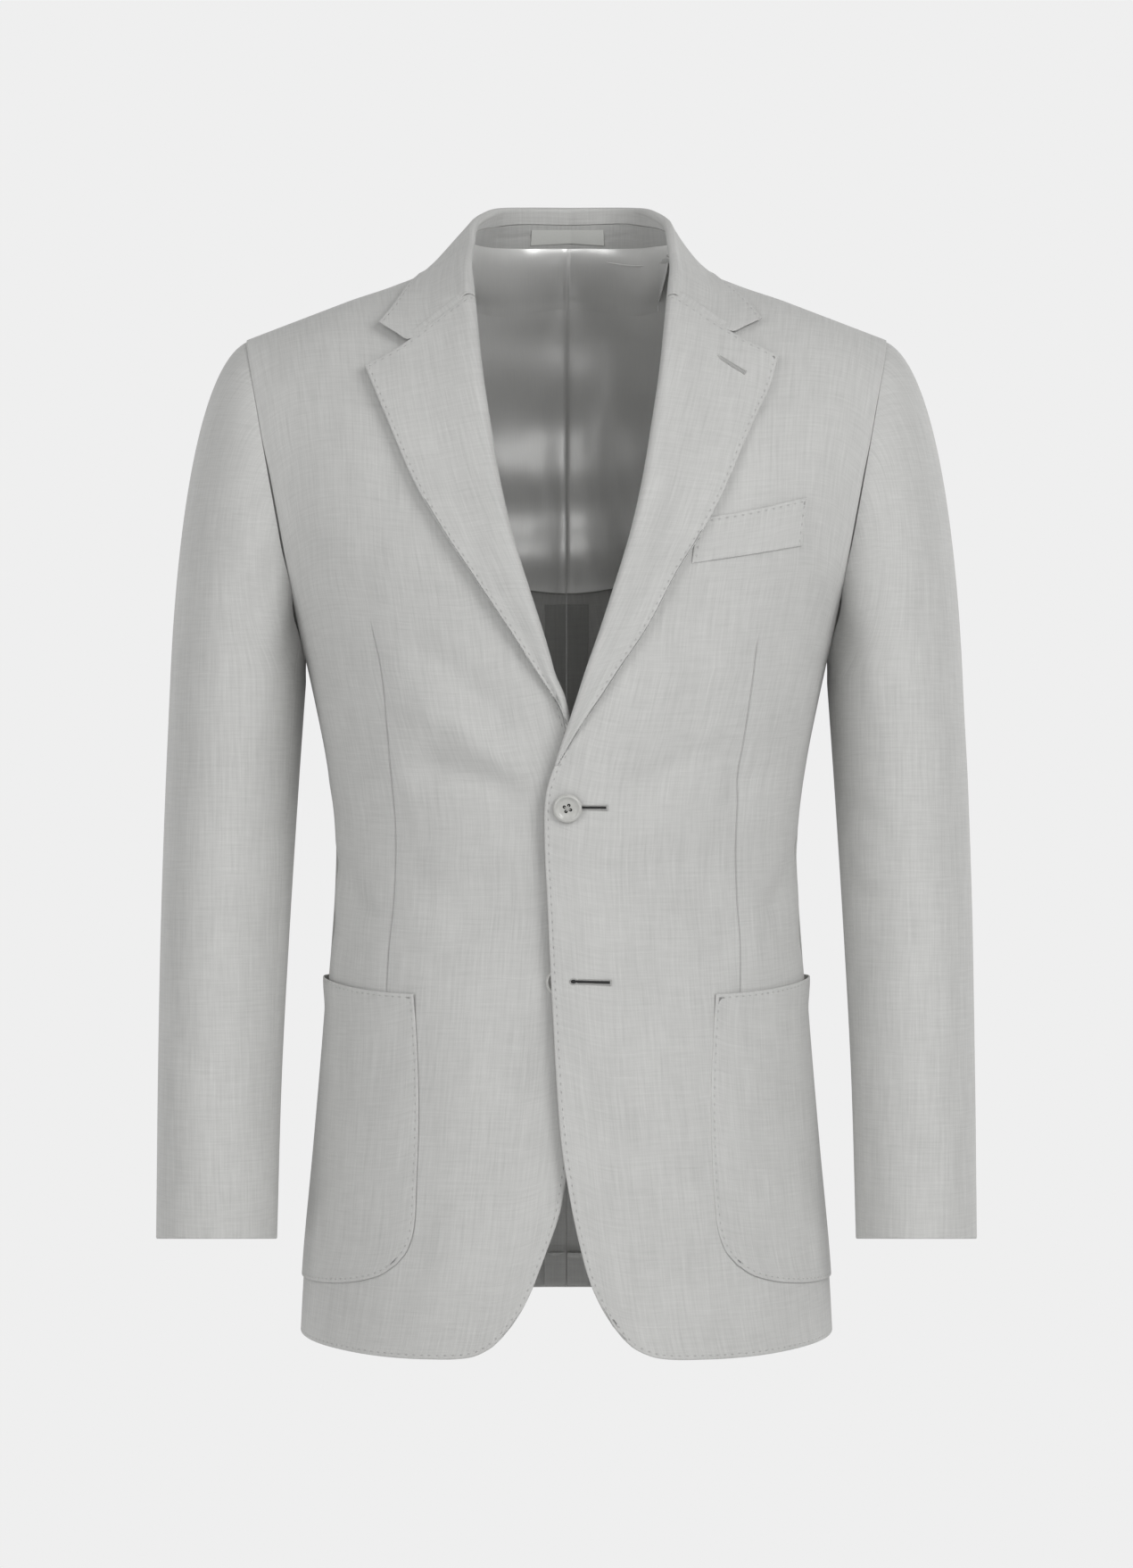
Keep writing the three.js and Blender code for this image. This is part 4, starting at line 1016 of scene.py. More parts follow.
def yoke_share(w):
    """How far up from the armpits to the shoulder a row lies, from 0 to 1."""
    return np.maximum(0, (w - CHEST_ROW) / (1 - CHEST_ROW))


def trunk_share(w):
    """How far up from the hem to the armpits a row lies, from 0 to 1."""
    return np.minimum(1, w / CHEST_ROW)


def pair(angle, v):
    """The body's coordinates, angle and v, side by side."""
    angle, v = np.broadcast_arrays(angle, v)
    return np.stack([angle, v], axis=-1)


def along_table(columns, behind=False):
    """A line on the body through a table's x and z, as a function of its first column."""
    key = next(iter(columns))
    at = seen(columns["x"], columns["z"], behind)
    found = smooth({key: columns[key], "angle": at[:, 0], "v": at[:, 1]}, key)

    def line(u):
        row = found(u)
        return pair(row["angle"], row["v"])

    return line


def hem_v(z):
    """The v of a height below the armpits."""
    return (z - CHEST_Z) / ARMHOLE_RISE


def hem_behind(angle):
    """The hem's v behind the side: a cosine from the side's height to the back's."""
    turn = (1 - np.cos(2 * (angle - np.pi / 2))) / 2
    return hem_v(blend(HEM_SIDE_Z, HEM_BACK_Z, turn))


def lean(z, side):
    """How far the opening leans to one side: not at all low down, and by LEAN at the chest."""
    return side * LEAN * smoothstep(LEAN_BOTTOM_Z, LEAN_TOP_Z, z)


def edge_x(z, side):
    """A front edge's x: the table's, leaning with the opening, and on the right tucked and cut."""
    if side > 0:
        return edge_at(z)["x"] + lean(z, side)
    tucked = TUCK * smoothstep(*TUCK_TOP_Z, z) * smoothstep(*TUCK_LOW_Z, z)
    return edge_at(z)["x"] + lean(z, side) - tucked + CORNER_CUT * smoothstep(*CORNER_CUT_Z, z)


def fold_height(z):
    """How far the lapel's fold stands off the front."""
    return fold_at(z)["height"]


def fold_radius(z):
    """The radius of the outside of the lapel's fold."""
    return (fold_height(z) + CLOTH) / 2


def front_edge_x(z, side):
    """A front's edge, which steps back past the opening to leave the fold of the lapel."""
    fold = (fold_radius(z) + FOLD_GAP) * smoothstep(LAPEL_END_Z - STEP_BACK, LAPEL_END_Z, z)
    return edge_x(z, side) + fold


def front_inner(w, side):
    """The front's inner border: its edge, up to the shoulder.

    Above the armpits the height depends on the ridge there, so it is worked out again eight times.
    """
    low = blend(EDGE_CORNER_Z, CHEST_Z, trunk_share(w))
    v = np.minimum(np.sin(yoke_share(w) * np.pi / 2), 1 - SHOULDER_GAP)
    z = blend(CHEST_Z, 0, v)
    for _ in range(8):
        z = blend(CHEST_Z, ridge(front_edge_x(z, side)), v)
    z = np.where(yoke_share(w) > 0, z, low)
    at = seen(front_edge_x(z, side), z)
    return pair(at[:, 0], np.where(yoke_share(w) > 0, v, at[:, 1]))


def front_outer(w):
    """The front's outer border: the side, then round the front half of the armhole."""
    high = armhole(np.pi * (1 - yoke_share(w)))
    low = blend(hem_v(HEM_SIDE_Z), 0, trunk_share(w))
    above = yoke_share(w) > 0
    angle = np.where(above, high[:, 0], np.pi / 2) - ANGLE_GAP
    return pair(angle, np.where(above, np.minimum(high[:, 1], 1 - SHOULDER_GAP), low))


def side_seam(v):
    """The angle of the seam between the side body and the back."""
    top = armhole(np.array(SIDE_TOP_TURN))
    return blend(SIDE_SEAM_HEM, top[0], smoothstep(hem_behind(SIDE_SEAM_HEM), top[1], v))


def front_coords(side, u, w):
    """The front's grid in the body's coordinates."""
    hem = along_table(FRONT_HEM[side])
    start, end = front_inner(LAST, side)[0], front_outer(LAST)[0]

    def bottom(t):
        at = hem(t)
        return pair(np.minimum(at[:, 0], np.pi / 2 - ANGLE_GAP), at[:, 1])

    def top(t):
        return pair(blend(start[0], end[0], t), 1 - SHOULDER_GAP)

    return patch(lambda t: front_inner(t, side), front_outer, bottom, top, u, w)


DART_DEPTH = 0.5
DART_WIDTH = 5
DART_FADES = (8, 14)  # the length over which the groove fades, at its foot and at its top


def front_face(side):
    """A front's outer face in true coordinates, and its dart layer."""
    u = shares(70) ** 1.12
    at = front_coords(side, u, panel_rows())
    point = on_body(at)
    height = relief(point, side)
    if side > 0:
        height = height + overlap(point)
    z = point[..., 2]
    dart = DARTS[side]
    line = smooth(dart, "z")(z)["x"] * side
    low, high = dart["z"][[0, -1]]
    ends = smoothstep(low, low + DART_FADES[0], z) * smoothstep(high, high - DART_FADES[1], z)
    aside = point[..., 0] - line
    height = height - DART_DEPTH * ends * np.exp(-((aside / DART_WIDTH) ** 2))
    face = place(at, height) * (side, 1, 1)
    layer = np.stack([aside, ends, np.zeros_like(aside)], -1)
    if side < 0:
        face, layer = face[:, ::-1], layer[:, ::-1]
    return face, layer


def side_face(side):
    """A side body's face, between the front and the seam with the back."""
    top_turn = armhole(np.array(SIDE_TOP_TURN))

    def front(w):
        return pair(np.pi / 2 + ANGLE_GAP, blend(hem_v(HEM_SIDE_Z), -ARMPIT_DROP, w))

    def back(w):
        v = blend(hem_behind(SIDE_SEAM_HEM), top_turn[1], w)
        return pair(side_seam(v) - ANGLE_GAP, v)

    def hem(u):
        angle = blend(np.pi / 2 + ANGLE_GAP, SIDE_SEAM_HEM - ANGLE_GAP, u)
        return pair(angle, blend(hem_behind(angle), hem_behind(SIDE_SEAM_HEM), u))

    def top(u):
        at = armhole(blend(np.pi + 1e-6, SIDE_TOP_TURN, u))
        angle = np.clip(at[:, 0], np.pi / 2 + ANGLE_GAP, top_turn[0] - ANGLE_GAP)
        return pair(angle, at[:, 1] - ARMPIT_DROP * (1 - u))

    at = patch(front, back, hem, top, shares(34), shares(170))
    point = on_body(at)
    return facing(place(at, relief(point, side)) * (side, 1, 1))


def neck_point(x):
    """The body's coordinates where the back reaches the neck seam, an ellipse, by halving."""
    x = np.asarray(x, float)
    goal = NECK_BACK * np.sqrt(np.maximum(0, 1 - (x / NECK_HALF) ** 2))

    def across(v):
        turn = np.arcsin(np.abs(x / yoke_at(v)["half_back"]) ** (SECTION_POWER / 2))
        return np.pi - np.where(x < 0, -1, 1) * turn

    low, high = np.full_like(x, 0.5), np.ones_like(x)
    for _ in range(40):
        v = (low + high) / 2
        before = body(across(v), v)[..., 1] > goal
        low, high = np.where(before, v, low), np.where(before, high, v)
    return pair(across(low), low)


def back_coords(u, w):
    """The back's grid in the body's coordinates, from the centre seam to the side seam."""
    centre_top = neck_point(FIRST)[0]
    top_turn = armhole(np.array(SIDE_TOP_TURN))
    neck, end = neck_point(np.array([NECK_HALF - 1e-6]))[0], armhole(np.array(2 * np.pi))

    def inner(t):
        v = np.where(yoke_share(t) > 0, centre_top[1] * yoke_share(t),
                     blend(hem_v(HEM_BACK_Z), 0, trunk_share(t)))
        return pair(np.pi - CENTRE_GAP, v)

    def outer(t):
        high = armhole(blend(SIDE_TOP_TURN, 2 * np.pi, yoke_share(t)))
        v = blend(hem_behind(SIDE_SEAM_HEM), top_turn[1], trunk_share(t))
        above = yoke_share(t) > 0
        angle = np.where(above, high[:, 0], side_seam(v)) + ANGLE_GAP
        return pair(angle, np.where(above, np.minimum(high[:, 1], 1 - SHOULDER_GAP), v))

    def hem(t):
        angle = blend(np.pi - CENTRE_GAP, SIDE_SEAM_HEM + ANGLE_GAP, t)
        return pair(angle, hem_behind(angle))

    def top(t):
        round_neck = neck_point(NECK_HALF * np.sin(np.minimum(t / NECK_COLUMN, 1 - 1e-9) * np.pi / 2))
        angle = blend(neck[0], end[0] + ANGLE_GAP, (t - NECK_COLUMN) / (1 - NECK_COLUMN))
        on_neck = t < NECK_COLUMN
        return pair(np.where(on_neck, np.minimum(round_neck[:, 0], np.pi - CENTRE_GAP), angle),
                    np.where(on_neck, round_neck[:, 1], 1 - SHOULDER_GAP))

    return patch(inner, outer, hem, top, u, w)


def back_columns():
    """Columns from the centre seam, as close together below the neck as beside it."""
    return np.concatenate([np.linspace(0, NECK_COLUMN, 38, endpoint=False),
                           np.linspace(NECK_COLUMN, 1, 40)])


def back_face(side, drop=0.0, low=0.0, extra=None):
    """A back's face, sunk by drop: 0 for the cloth, more for what lies inside it."""
    at = back_coords(back_columns(), panel_rows(low))
    point = on_body(at)
    height = relief(point, side) - drop
    if extra is not None:
        height = height + extra(point * (side, 1, 1))
    return facing(place(at, height) * (side, 1, 1))


HEM_DEPTH = 25
SEAM_ALLOWANCE = 15.5
INSIDE = 2.15  # the cloth's inner face, measured in from its outer one, with a little room
HEM_REACH = (0.4, 168)  # where the turned-up hem starts and ends, out from the middle
SEAM_TOP_Z = -232


def inside_back(side, x, z, depth):
    """Points inside the back at x and z as seen from behind, that far in from the outer face."""
    at = seen(x, z, True)
    face = place(at, relief(on_body(at), side) - depth) * (side, 1, 1)
    return facing(face, inward=True)


def hem_inside(side):
    """The back's hem, turned up inside: a strip whose upper edge rolls a little off the cloth."""
    x, up = np.meshgrid(np.linspace(*HEM_REACH, 120), shares(12))
    angle = seen(x, 0 * x - HEM_DEPTH + HEM_BACK_Z, True)[..., 0]
    low = CHEST_Z + hem_behind(angle) * ARMHOLE_RISE
    wave = 0.35 * np.sin(x / 9 + side) + 0.25 * np.sin(x / 4.3)
    roll = (1.9 + 1.6 * wave) * smoothstep(0.6, 1, up)
    return inside_back(side, x, low + 0.6 + HEM_DEPTH * up, INSIDE + 0.9 + roll)


def seam_inside(side):
    """One side of the back's middle seam, pressed open."""
    x, z = np.meshgrid(np.linspace(0.25, SEAM_ALLOWANCE, 9), np.linspace(-714, SEAM_TOP_Z, 180))
    wave = 0.3 * np.sin(z / 13 + side) * smoothstep(4, SEAM_ALLOWANCE, x)
    over_hem = 2.0 * smoothstep(HEM_BACK_Z + HEM_DEPTH + 6, HEM_BACK_Z + HEM_DEPTH - 1, z)
    lifted = 0.5 * smoothstep(9, SEAM_ALLOWANCE, x)
    return inside_back(side, x + wave, z, INSIDE + 0.7 + lifted + over_hem)


# ======== fronts, side bodies, backs and lining ========
class SUIT_OT_fronts(bpy.types.Operator):
    """The two fronts, the left one lapped over the right, with their darts."""
    bl_idname = "suit.fronts"
    bl_label = "Fronts"

    def execute(self, context):
        cloth = cloth_material()
        for name, side in SIDES:
            face, dart = front_face(side)
            free, seam = FREE_ROUND, SEAM_ROUND
            rounding = [free, seam, seam, free] if side > 0 else [free, free, seam, seam]
            make_cloth(f"cloth_front_{name}", face, cloth, node=f"front_{name}", rounding=rounding,
                       edges="bl" if side > 0 else "br", dart=dart)
        return {"FINISHED"}


class SUIT_OT_side_bodies(bpy.types.Operator):
    """The narrow panels under the arms."""
    bl_idname = "suit.side_bodies"
    bl_label = "Side bodies"

    def execute(self, context):
        for name, side in SIDES:
            make_cloth(f"cloth_side_{name}", side_face(side), cloth_material(), node=f"side_{name}",
                       rounding=[FREE_ROUND, SEAM_ROUND, SEAM_ROUND, SEAM_ROUND])
        return {"FINISHED"}


class SUIT_OT_backs(bpy.types.Operator):
    """The two backs, with their turned-up hem and pressed-open centre seam inside."""
    bl_idname = "suit.backs"
    bl_label = "Backs"

    def execute(self, context):
        for name, side in SIDES:
            # The turned-up hem and the seam allowance inside take the cloth darkened to 0.7: painted shade.
            cloth, inside = cloth_material(), cloth_material("Inside cloth", 0.7)
            make_cloth(f"cloth_back_{name}", back_face(side), cloth, node=f"back_{name}",
                       rounding=[FREE_ROUND, SEAM_ROUND, SEAM_ROUND, SEAM_ROUND])
            make_cloth(f"back_hem_{name}", hem_inside(side), inside, thickness=0.9,
                       rounding=[0.4] * 4)
            make_cloth(f"back_seam_{name}", seam_inside(side), inside, thickness=0.7,
                       rounding=[0.3] * 4)
        return {"FINISHED"}


FOLDS_START_Z = (8, -22)
SEAM_FOLD = 0.45  # the height and width of the fold along the lining's middle seam
SEAM_FOLD_WIDTH = 1.3
STRIP_STEP = 0.9  # how far the lining steps out behind the strip at the neck, and where
STRIP_STEP_Z = (-14, 0)


def seam_fold(x):
    """The height of the small fold along the lining's middle seam."""
    return SEAM_FOLD * np.exp(-((x / SEAM_FOLD_WIDTH) ** 2))


def lining_waves(point):
    """Soft folds in the lining, the fold along its middle seam, and the step behind the neck strip."""
    x, z = point[..., 0], point[..., 2]
    loose = creased(x, z, LINING_FOLDS) * smoothstep(*FOLDS_START_Z, z)
    return loose + seam_fold(x) + STRIP_STEP * smoothstep(*STRIP_STEP_Z, z)


LINING_LOW_ROW = 0.6705
LINING_TOP_Z = 15.5
LINING_TOP_FALL = 4.5
STRIP_SPAN = 0.86  # the strip's half length, as a share of the stand's
STRIP_DOWN = (0.16, 0.085)  # how far below the neck seam it starts, and where its curve starts
STRIP_SINK = (0.4, 1.3)  # how much deeper than the lining it lies at these two places
STRIP_SINK_START = 0.13
STRIP_CURVE = (4.2, 6)  # how far inside and below the seam the curve's middle point lies
STRIP_TOP_GAP = 1.7


def lining_at_neck():
    """The strip at the lining's top: it climbs on to the foot of the stand, to a level edge.

    Below, it follows the lining and runs down into it; above, it is a quadratic curve to its edge.
    """
    even = np.linspace(-1, 1, 141)
    u = STRIP_SPAN * STAND_END * even * np.abs(even) ** 0.4
    foot, head = stand_surface(u, FIRST)[0], stand_surface(u, LAST)[0]
    level = LINING_TOP_Z - LINING_TOP_FALL * (foot[:, 0] / NECK_HALF) ** 2
    share = np.clip((level - foot[:, 2]) / (head[:, 2] - foot[:, 2]), 0.1, 0.95)
    top = blend(foot, head, share[:, None])
    inward = unit(top * (-1, -1, 0) + (0, 20, 0))
    at = neck_point(np.clip(foot[:, 0], 1 - NECK_HALF, NECK_HALF - 1))
    down = np.linspace(*STRIP_DOWN, 10)[:, None]
    deeper = smoothstep(STRIP_SINK_START, STRIP_DOWN[1], down)
    sunk = blend(LINING_DROP + STRIP_SINK[0], LINING_DROP + STRIP_SINK[1], deeper)
    coords = at[None] - down[..., None] * (0, 1)
    point = on_body(coords)
    height = np.where(point[..., 0] > 0, relief(point, 1), relief(point * (-1, 1, 1), -1))
    below = place(coords, height + lining_waves(point) - sunk)
    low = below[-1]
    middle = foot + inward * STRIP_CURVE[0] - (0, 0, STRIP_CURVE[1])
    up = shares(14)[1:, None, None]
    above = (1 - up) ** 2 * low + 2 * up * (1 - up) * middle + up ** 2 * (top + inward * STRIP_TOP_GAP)
    above = above - inward * seam_fold(foot[:, :1])
    return facing(np.concatenate([below, above]), NECK_CORE, inward=True)


class SUIT_OT_lining(bpy.types.Operator):
    """The half lining inside the back."""
    bl_idname = "suit.lining"
    bl_label = "Lining"

    def execute(self, context):
        make_cloth("lining_at_neck", lining_at_neck(), lining_material(),
                   thickness=0.7, rounding=[0.3] * 4)
        for name, side in SIDES:
            face = back_face(side, LINING_DROP, LINING_LOW_ROW, lining_waves)
            make_cloth(f"lining_{name}", face, lining_material(), node=f"lining_back_{name}",
                       thickness=0.8, rounding=[0.3] * 4)
        return {"FINISHED"}


# ======== sleeves ========
def sleeve_ring(turn, z):
    """A ring round the arm: an ellipse, tilted forwards."""
    row = ring_at(z)
    tilt = np.tan(np.radians(row["tilt"]))
    forward = row["half_depth"] * np.sin(turn)
    return np.stack([row["x"] + row["half_width"] * np.cos(turn), row["y"] - forward,
                     z + forward * tilt], -1)


def sleeve_surface(turn, w):
    """The sleeve: its head is a cubic from the armhole to the first ring, then the rings follow.

    The cubic leaves the armhole outwards and ends straight down, each in proportion to the length.
    """
    turn, w = np.broadcast_arrays(turn[None, :], w[:, None])
    around = np.where(turn < 0, turn + 2 * np.pi, turn)
    arm = sleeve_ring(turn, blend(BICEPS_Z, CUFF_Z, (w - SLEEVE_HEAD_SHARE) / (1 - SLEEVE_HEAD_SHARE)))
    start = place(armhole(around), 0 * around) + (SLEEVE_OUT, 0, 0)
    end = sleeve_ring(turn, BICEPS_Z + 0 * turn)
    length = np.linalg.norm(end - start, axis=-1, keepdims=True)
    outside = (1 + np.cos(turn)) / 2
    leave = np.stack([blend(LEAVE_UNDER[0], LEAVE_OVER[0], outside), -LEAVE_FORWARD * np.sin(turn),
                      blend(LEAVE_UNDER[1], LEAVE_OVER[1], outside)], -1)
    leave = unit(leave) * length * HEAD_FULLNESS
    arrive = np.stack([HEAD_DRIFT * outside, 0 * turn, -1 + 0 * turn], -1) * length * HEAD_FALL
    t = (w / SLEEVE_HEAD_SHARE)[..., None]
    head = cubic(start, end, leave, arrive, t)
    return np.where(w[..., None] >= SLEEVE_HEAD_SHARE, arm, head)


def sleeve_face(start, end, columns, side):
    """The part of a sleeve between two turns, in degrees, with its creases."""
    turn = np.radians(np.linspace(start, end, columns))
    w = np.concatenate([np.linspace(0, SLEEVE_HEAD_SHARE, 84, endpoint=False),
                        np.linspace(SLEEVE_HEAD_SHARE, 1, 130)])
    face = facing(sleeve_surface(turn, w), ARM_CORE)
    turned = turn if np.allclose(face[0, 0], sleeve_surface(turn[:1], w[:1])[0, 0]) else turn[::-1]
    around = np.degrees(turned)[None, :] + 0 * face[..., 0]
    creases = SLEEVE_CREASES_LEFT if side > 0 else SLEEVE_CREASES_RIGHT
    reach = math.radians(1) * TURN_REACH
    laid = dict(creases, turn0=creases["turn0"] * reach, turn1=creases["turn1"] * reach)
    names = ("turn0", "z0", "turn1", "z1")
    height = sum(creased((around + whole) * reach, face[..., 2], laid, names) for whole in (-360, 0, 360))
    face = face + grid_normals(face) * (height * crease_strength())[..., None]
    return face if side > 0 else (face * (-1, 1, 1))[:, ::-1]


class SUIT_OT_sleeves(bpy.types.Operator):
    """Top and under sleeves, joined along the arm in front and behind."""
    bl_idname = "suit.sleeves"
    bl_label = "Sleeves"

    def execute(self, context):
        rounding = [SEAM_ROUND, SEAM_ROUND, FREE_ROUND, SEAM_ROUND]
        for name, side in SIDES:
            top = sleeve_face(BACK_SLEEVE_SEAM - 360, FRONT_SLEEVE_SEAM, 96, side)
            make_cloth(f"cloth_sleeve_top_{name}", top, cloth_material(),
                       node=f"sleeve_top_{name}", rounding=rounding)
            under = sleeve_face(FRONT_SLEEVE_SEAM, BACK_SLEEVE_SEAM, 34, side)
            make_cloth(f"cloth_sleeve_under_{name}", under, cloth_material(),
                       node=f"sleeve_under_{name}", rounding=rounding)
        return {"FINISHED"}


# ======== lapels ========
def heading(start, end):
    """The direction from one point to another."""
    return unit(end - start)


def leaned(columns, key, side):
    """A table's line in x and z, as a function of one column, with the lean added to its x."""
    found = smooth(columns, key)

    def line(value):
        row = found(value)
        return np.stack([row["x"] + lean(row["z"], side), row["z"]], -1)

    return line


FOLD_TURNS = np.radians(np.linspace(-90, 72, 14))  # round a fold, from inside it to the leaf
LAPEL_RISE = (0.01, 0.13)  # where the leaf lifts off at its lower end, and where it lies full
LAPEL_FULL = (0.05, 0.42)
LEAF_LEVEL = 0.6  # how far out from the fold the leaf comes down to its own height
LEAF_STITCH_Z = (-322, -290)


def lapel_face(side):
    """A lapel's face: half a circle round the fold, then the leaf from the fold to its edge."""
    edge_of = smooth(LAPEL_EDGE[side], "w")
    outer, gorge = leaned(LAPEL_EDGE[side], "w", side), leaned(GORGE[side], "u", side)

    def crest(w):
        z = edge_of(w)["roll"]
        return np.stack([edge_x(z, side), z], -1)

    def inner(w):
        return crest(w) + heading(crest(w), outer(w)) * fold_radius(crest(w)[:, 1])[:, None]

    def top(u):
        return gorge(u) + (inner(LAST) - gorge(FIRST)) * (1 - u)[:, None]

    def bottom(u):
        return blend(inner(FIRST), outer(FIRST), u[:, None])

    w = shares(150)
    u = shares(52)
    leaf = patch(inner, outer, bottom, top, u, w)
    radius = fold_radius(crest(w)[:, 1])[:, None]
    turns = FOLD_TURNS[None, :]
    reach = radius * (1 - np.cos(turns))
    fold = crest(w)[:, None] + heading(crest(w), outer(w))[:, None] * reach[..., None]
    across = np.concatenate([fold, leaf], 1)
    at = seen(across[..., 0], across[..., 1])
    fold_lift = radius - CLOTH + radius * np.sin(turns)
    rising = LOW_LAPEL_HEIGHT * smoothstep(*LAPEL_RISE, w)
    low = blend(rising, LAPEL_HEIGHT[side], smoothstep(*LAPEL_FULL, w))[:, None]
    high = fold_height(crest(w)[:, 1])[:, None]
    leaf_lift = blend(high, low, smoothstep(0, LEAF_LEVEL, u)[None])
    height = np.concatenate([fold_lift, leaf_lift], 1)
    if side > 0:
        height = height + overlap(on_body(at))
    return facing(place(at, height) * (side, 1, 1))


def gorge_strip(side):
    """The seam allowance under the join of lapel and collar.

    It follows the lapel's top, round the fold and out to the notch, a little below the faces, and
    reaches as far to each side of the join.
    """
    gorge_of = smooth(GORGE[side], "u")
    reach = np.linspace(-GORGE_REACH, GORGE_REACH, 7)[:, None]
    start_z = LAPEL_EDGE[side]["roll"][-1]
    out = heading(np.array([edge_x(start_z, side), start_z]), np.array([GORGE[side]["x"][-1], start_z]))
    full = fold_radius(start_z)
    turns = np.radians(np.linspace(-90, 60, 12))[None]
    small = full - GORGE_SINK
    fold_z = start_z + reach + 0 * turns
    fold_x = edge_x(fold_z, side) + out[0] * (GORGE_SINK + small * (1 - np.cos(turns)))
    fold_lift = full - CLOTH + small * np.sin(turns) + 0 * reach
    u = np.linspace(0.06, 0.54, 24)[None]
    row = gorge_of(u[0])
    leaf_x = row["x"][None] + lean(row["z"], side)[None] + 0.5 * reach
    leaf_z = row["z"][None] + 0.85 * reach
    high = fold_height(start_z) - GORGE_SINK
    leaf_lift = blend(high, LAPEL_HEIGHT[side] - GORGE_SINK, smoothstep(0, LEAF_LEVEL, u)) + 0 * reach
    at = seen(np.concatenate([fold_x, leaf_x], 1), np.concatenate([fold_z, leaf_z], 1))
    return facing(place(at, np.concatenate([fold_lift, leaf_lift], 1)) * (side, 1, 1))


class SUIT_OT_lapels(bpy.types.Operator):
    """The two lapels, rolled over at the front edges."""
    bl_idname = "suit.lapels"
    bl_label = "Lapels"

    def execute(self, context):
        for name, side in SIDES:
            make_cloth(f"cloth_lapel_{name}", lapel_face(side), cloth_material(),
                       node=f"lapel_{name}", rounding=[FREE_ROUND, FREE_ROUND, 0.5, FREE_ROUND],
                       edges="rt" if side > 0 else "lt",
                       stitched=lambda z: smoothstep(*LEAF_STITCH_Z, z))
            make_cloth(f"cloth_gorge_seam_{name}", gorge_strip(side), cloth_material(), thickness=0.5)
        return {"FINISHED"}


# ======== collar ========
def through(points):
    """A curve through points, as a function from 0..1, with its direction.

    Between two points it is a cubic whose end slopes come from the three chords around it, each
    weighed by the root of its length, so that it neither loops nor overshoots.
    """
    first, last = 2 * points[0] - points[1], 2 * points[-1] - points[-2]
    line = np.concatenate([[first], points, [last]])
    gap = np.sqrt(np.linalg.norm(np.diff(line, axis=0), axis=-1))[:, None]
    chord = np.diff(line, axis=0) / gap
    slope = chord[:-1] + chord[1:] - (line[2:] - line[:-2]) / (gap[:-1] + gap[1:])
    spans = len(points) - 1

    def curve(u):
        at = np.clip(u, 0, 1) * spans
        i = np.minimum(at.astype(int), spans - 1)
        t = (at - i)[:, None]
        a, b = points[i], points[i + 1]
        width = gap[i + 1]
        m, n = slope[i] * width, slope[i + 1] * width
        way = (a * (6 * t ** 2 - 6 * t) + m * (3 * t ** 2 - 4 * t + 1)
               + b * (6 * t - 6 * t ** 2) + n * (3 * t ** 2 - 2 * t))
        return cubic(a, b, m, n, t), unit(way)

    return curve


def collar_curves(side):
    """The collar's guiding curves on one side, from the middle of the back to the front."""
    shift = np.array([side * LEAN, 0, 0])
    roll_x = edge_at(COLLAR_ON_ROLL)["x"] + shift[0]
    on_roll = place(seen(roll_x, COLLAR_ON_ROLL), ROLL_CREST + 0 * roll_x)
    back, front = COLLAR_EDGE_BACK, COLLAR_EDGE_FRONT[side]
    behind = place(seen(back["x"] + shift[0], back["z"], True), COLLAR_LOW + 0 * back["x"])
    before = place(seen(front["x"] + shift[0], front["z"]), front["height"])
    foot = place(neck_point(NECK_SEAM_X + shift[0]), -CLOTH / 2 + 0 * NECK_SEAM_X) + (0, 0, STAND_GAP)
    return {
        "crest": through(np.concatenate([COLLAR_CREST + shift, on_roll])),
        "edge": through(np.concatenate([behind, before])),
        "neck": through(np.concatenate([foot, STAND_FRONT + shift])),
        "end": along_table(dict(COLLAR_END[side], x=COLLAR_END[side]["x"] + shift[0])),
    }


def collar_fold(u, curves):
    """The fold at u: its crest, its outward and leaf directions and its radius."""
    top, along = curves["crest"](u)
    leaf = unit(curves["edge"](u)[0] - top)
    out = unit(np.cross(along, leaf))
    leaf = unit(np.cross(out, along))
    radius = blend(COLLAR_RADIUS, ROLL_CREST + CLOTH, smoothstep(0.6, 0.95, u))[:, None]
    return top, out, leaf, radius


def fold_point(u, curves, turn):
    """The fold's face at a turn: -90 degrees inside the neck, 0 on the crest, 90 outside."""
    top, out, leaf, radius = collar_fold(u, curves)
    return top + leaf * radius * (1 - np.cos(turn)) + out * radius * np.sin(turn)


def laid(point, height):
    """Points moved out until they stand that high off the body."""
    at = seen(point[..., 0], point[..., 2], point[..., 1] > 0)
    along = outward(at[..., 0], at[..., 1])
    off = dot(point - on_body(at), along)
    return point + along * np.maximum(height - off, 0)[..., None]


STAND_END = (len(COLLAR_CREST) - 1) / (len(COLLAR_CREST) + len(COLLAR_ON_ROLL) - 1)


def fall_inside(half, curves, share):
    """The fall's face inside the neck: straight down from the fold, share of the way to its seam."""
    foot = curves["neck"](np.minimum(1, half / STAND_END))[0]
    _, _, leaf, _ = collar_fold(half, curves)
    head = fold_point(half, curves, -np.pi / 2)
    on_roll = smoothstep(0.85 * STAND_END, STAND_END, half)[:, None]
    down = unit(blend(unit(foot - head), leaf, on_roll))
    drop = blend(FALL_INSIDE, FALL_INSIDE_FRONT, smoothstep(0.5 * STAND_END, 0.95 * STAND_END, half))
    return head + down * drop[:, None] * share


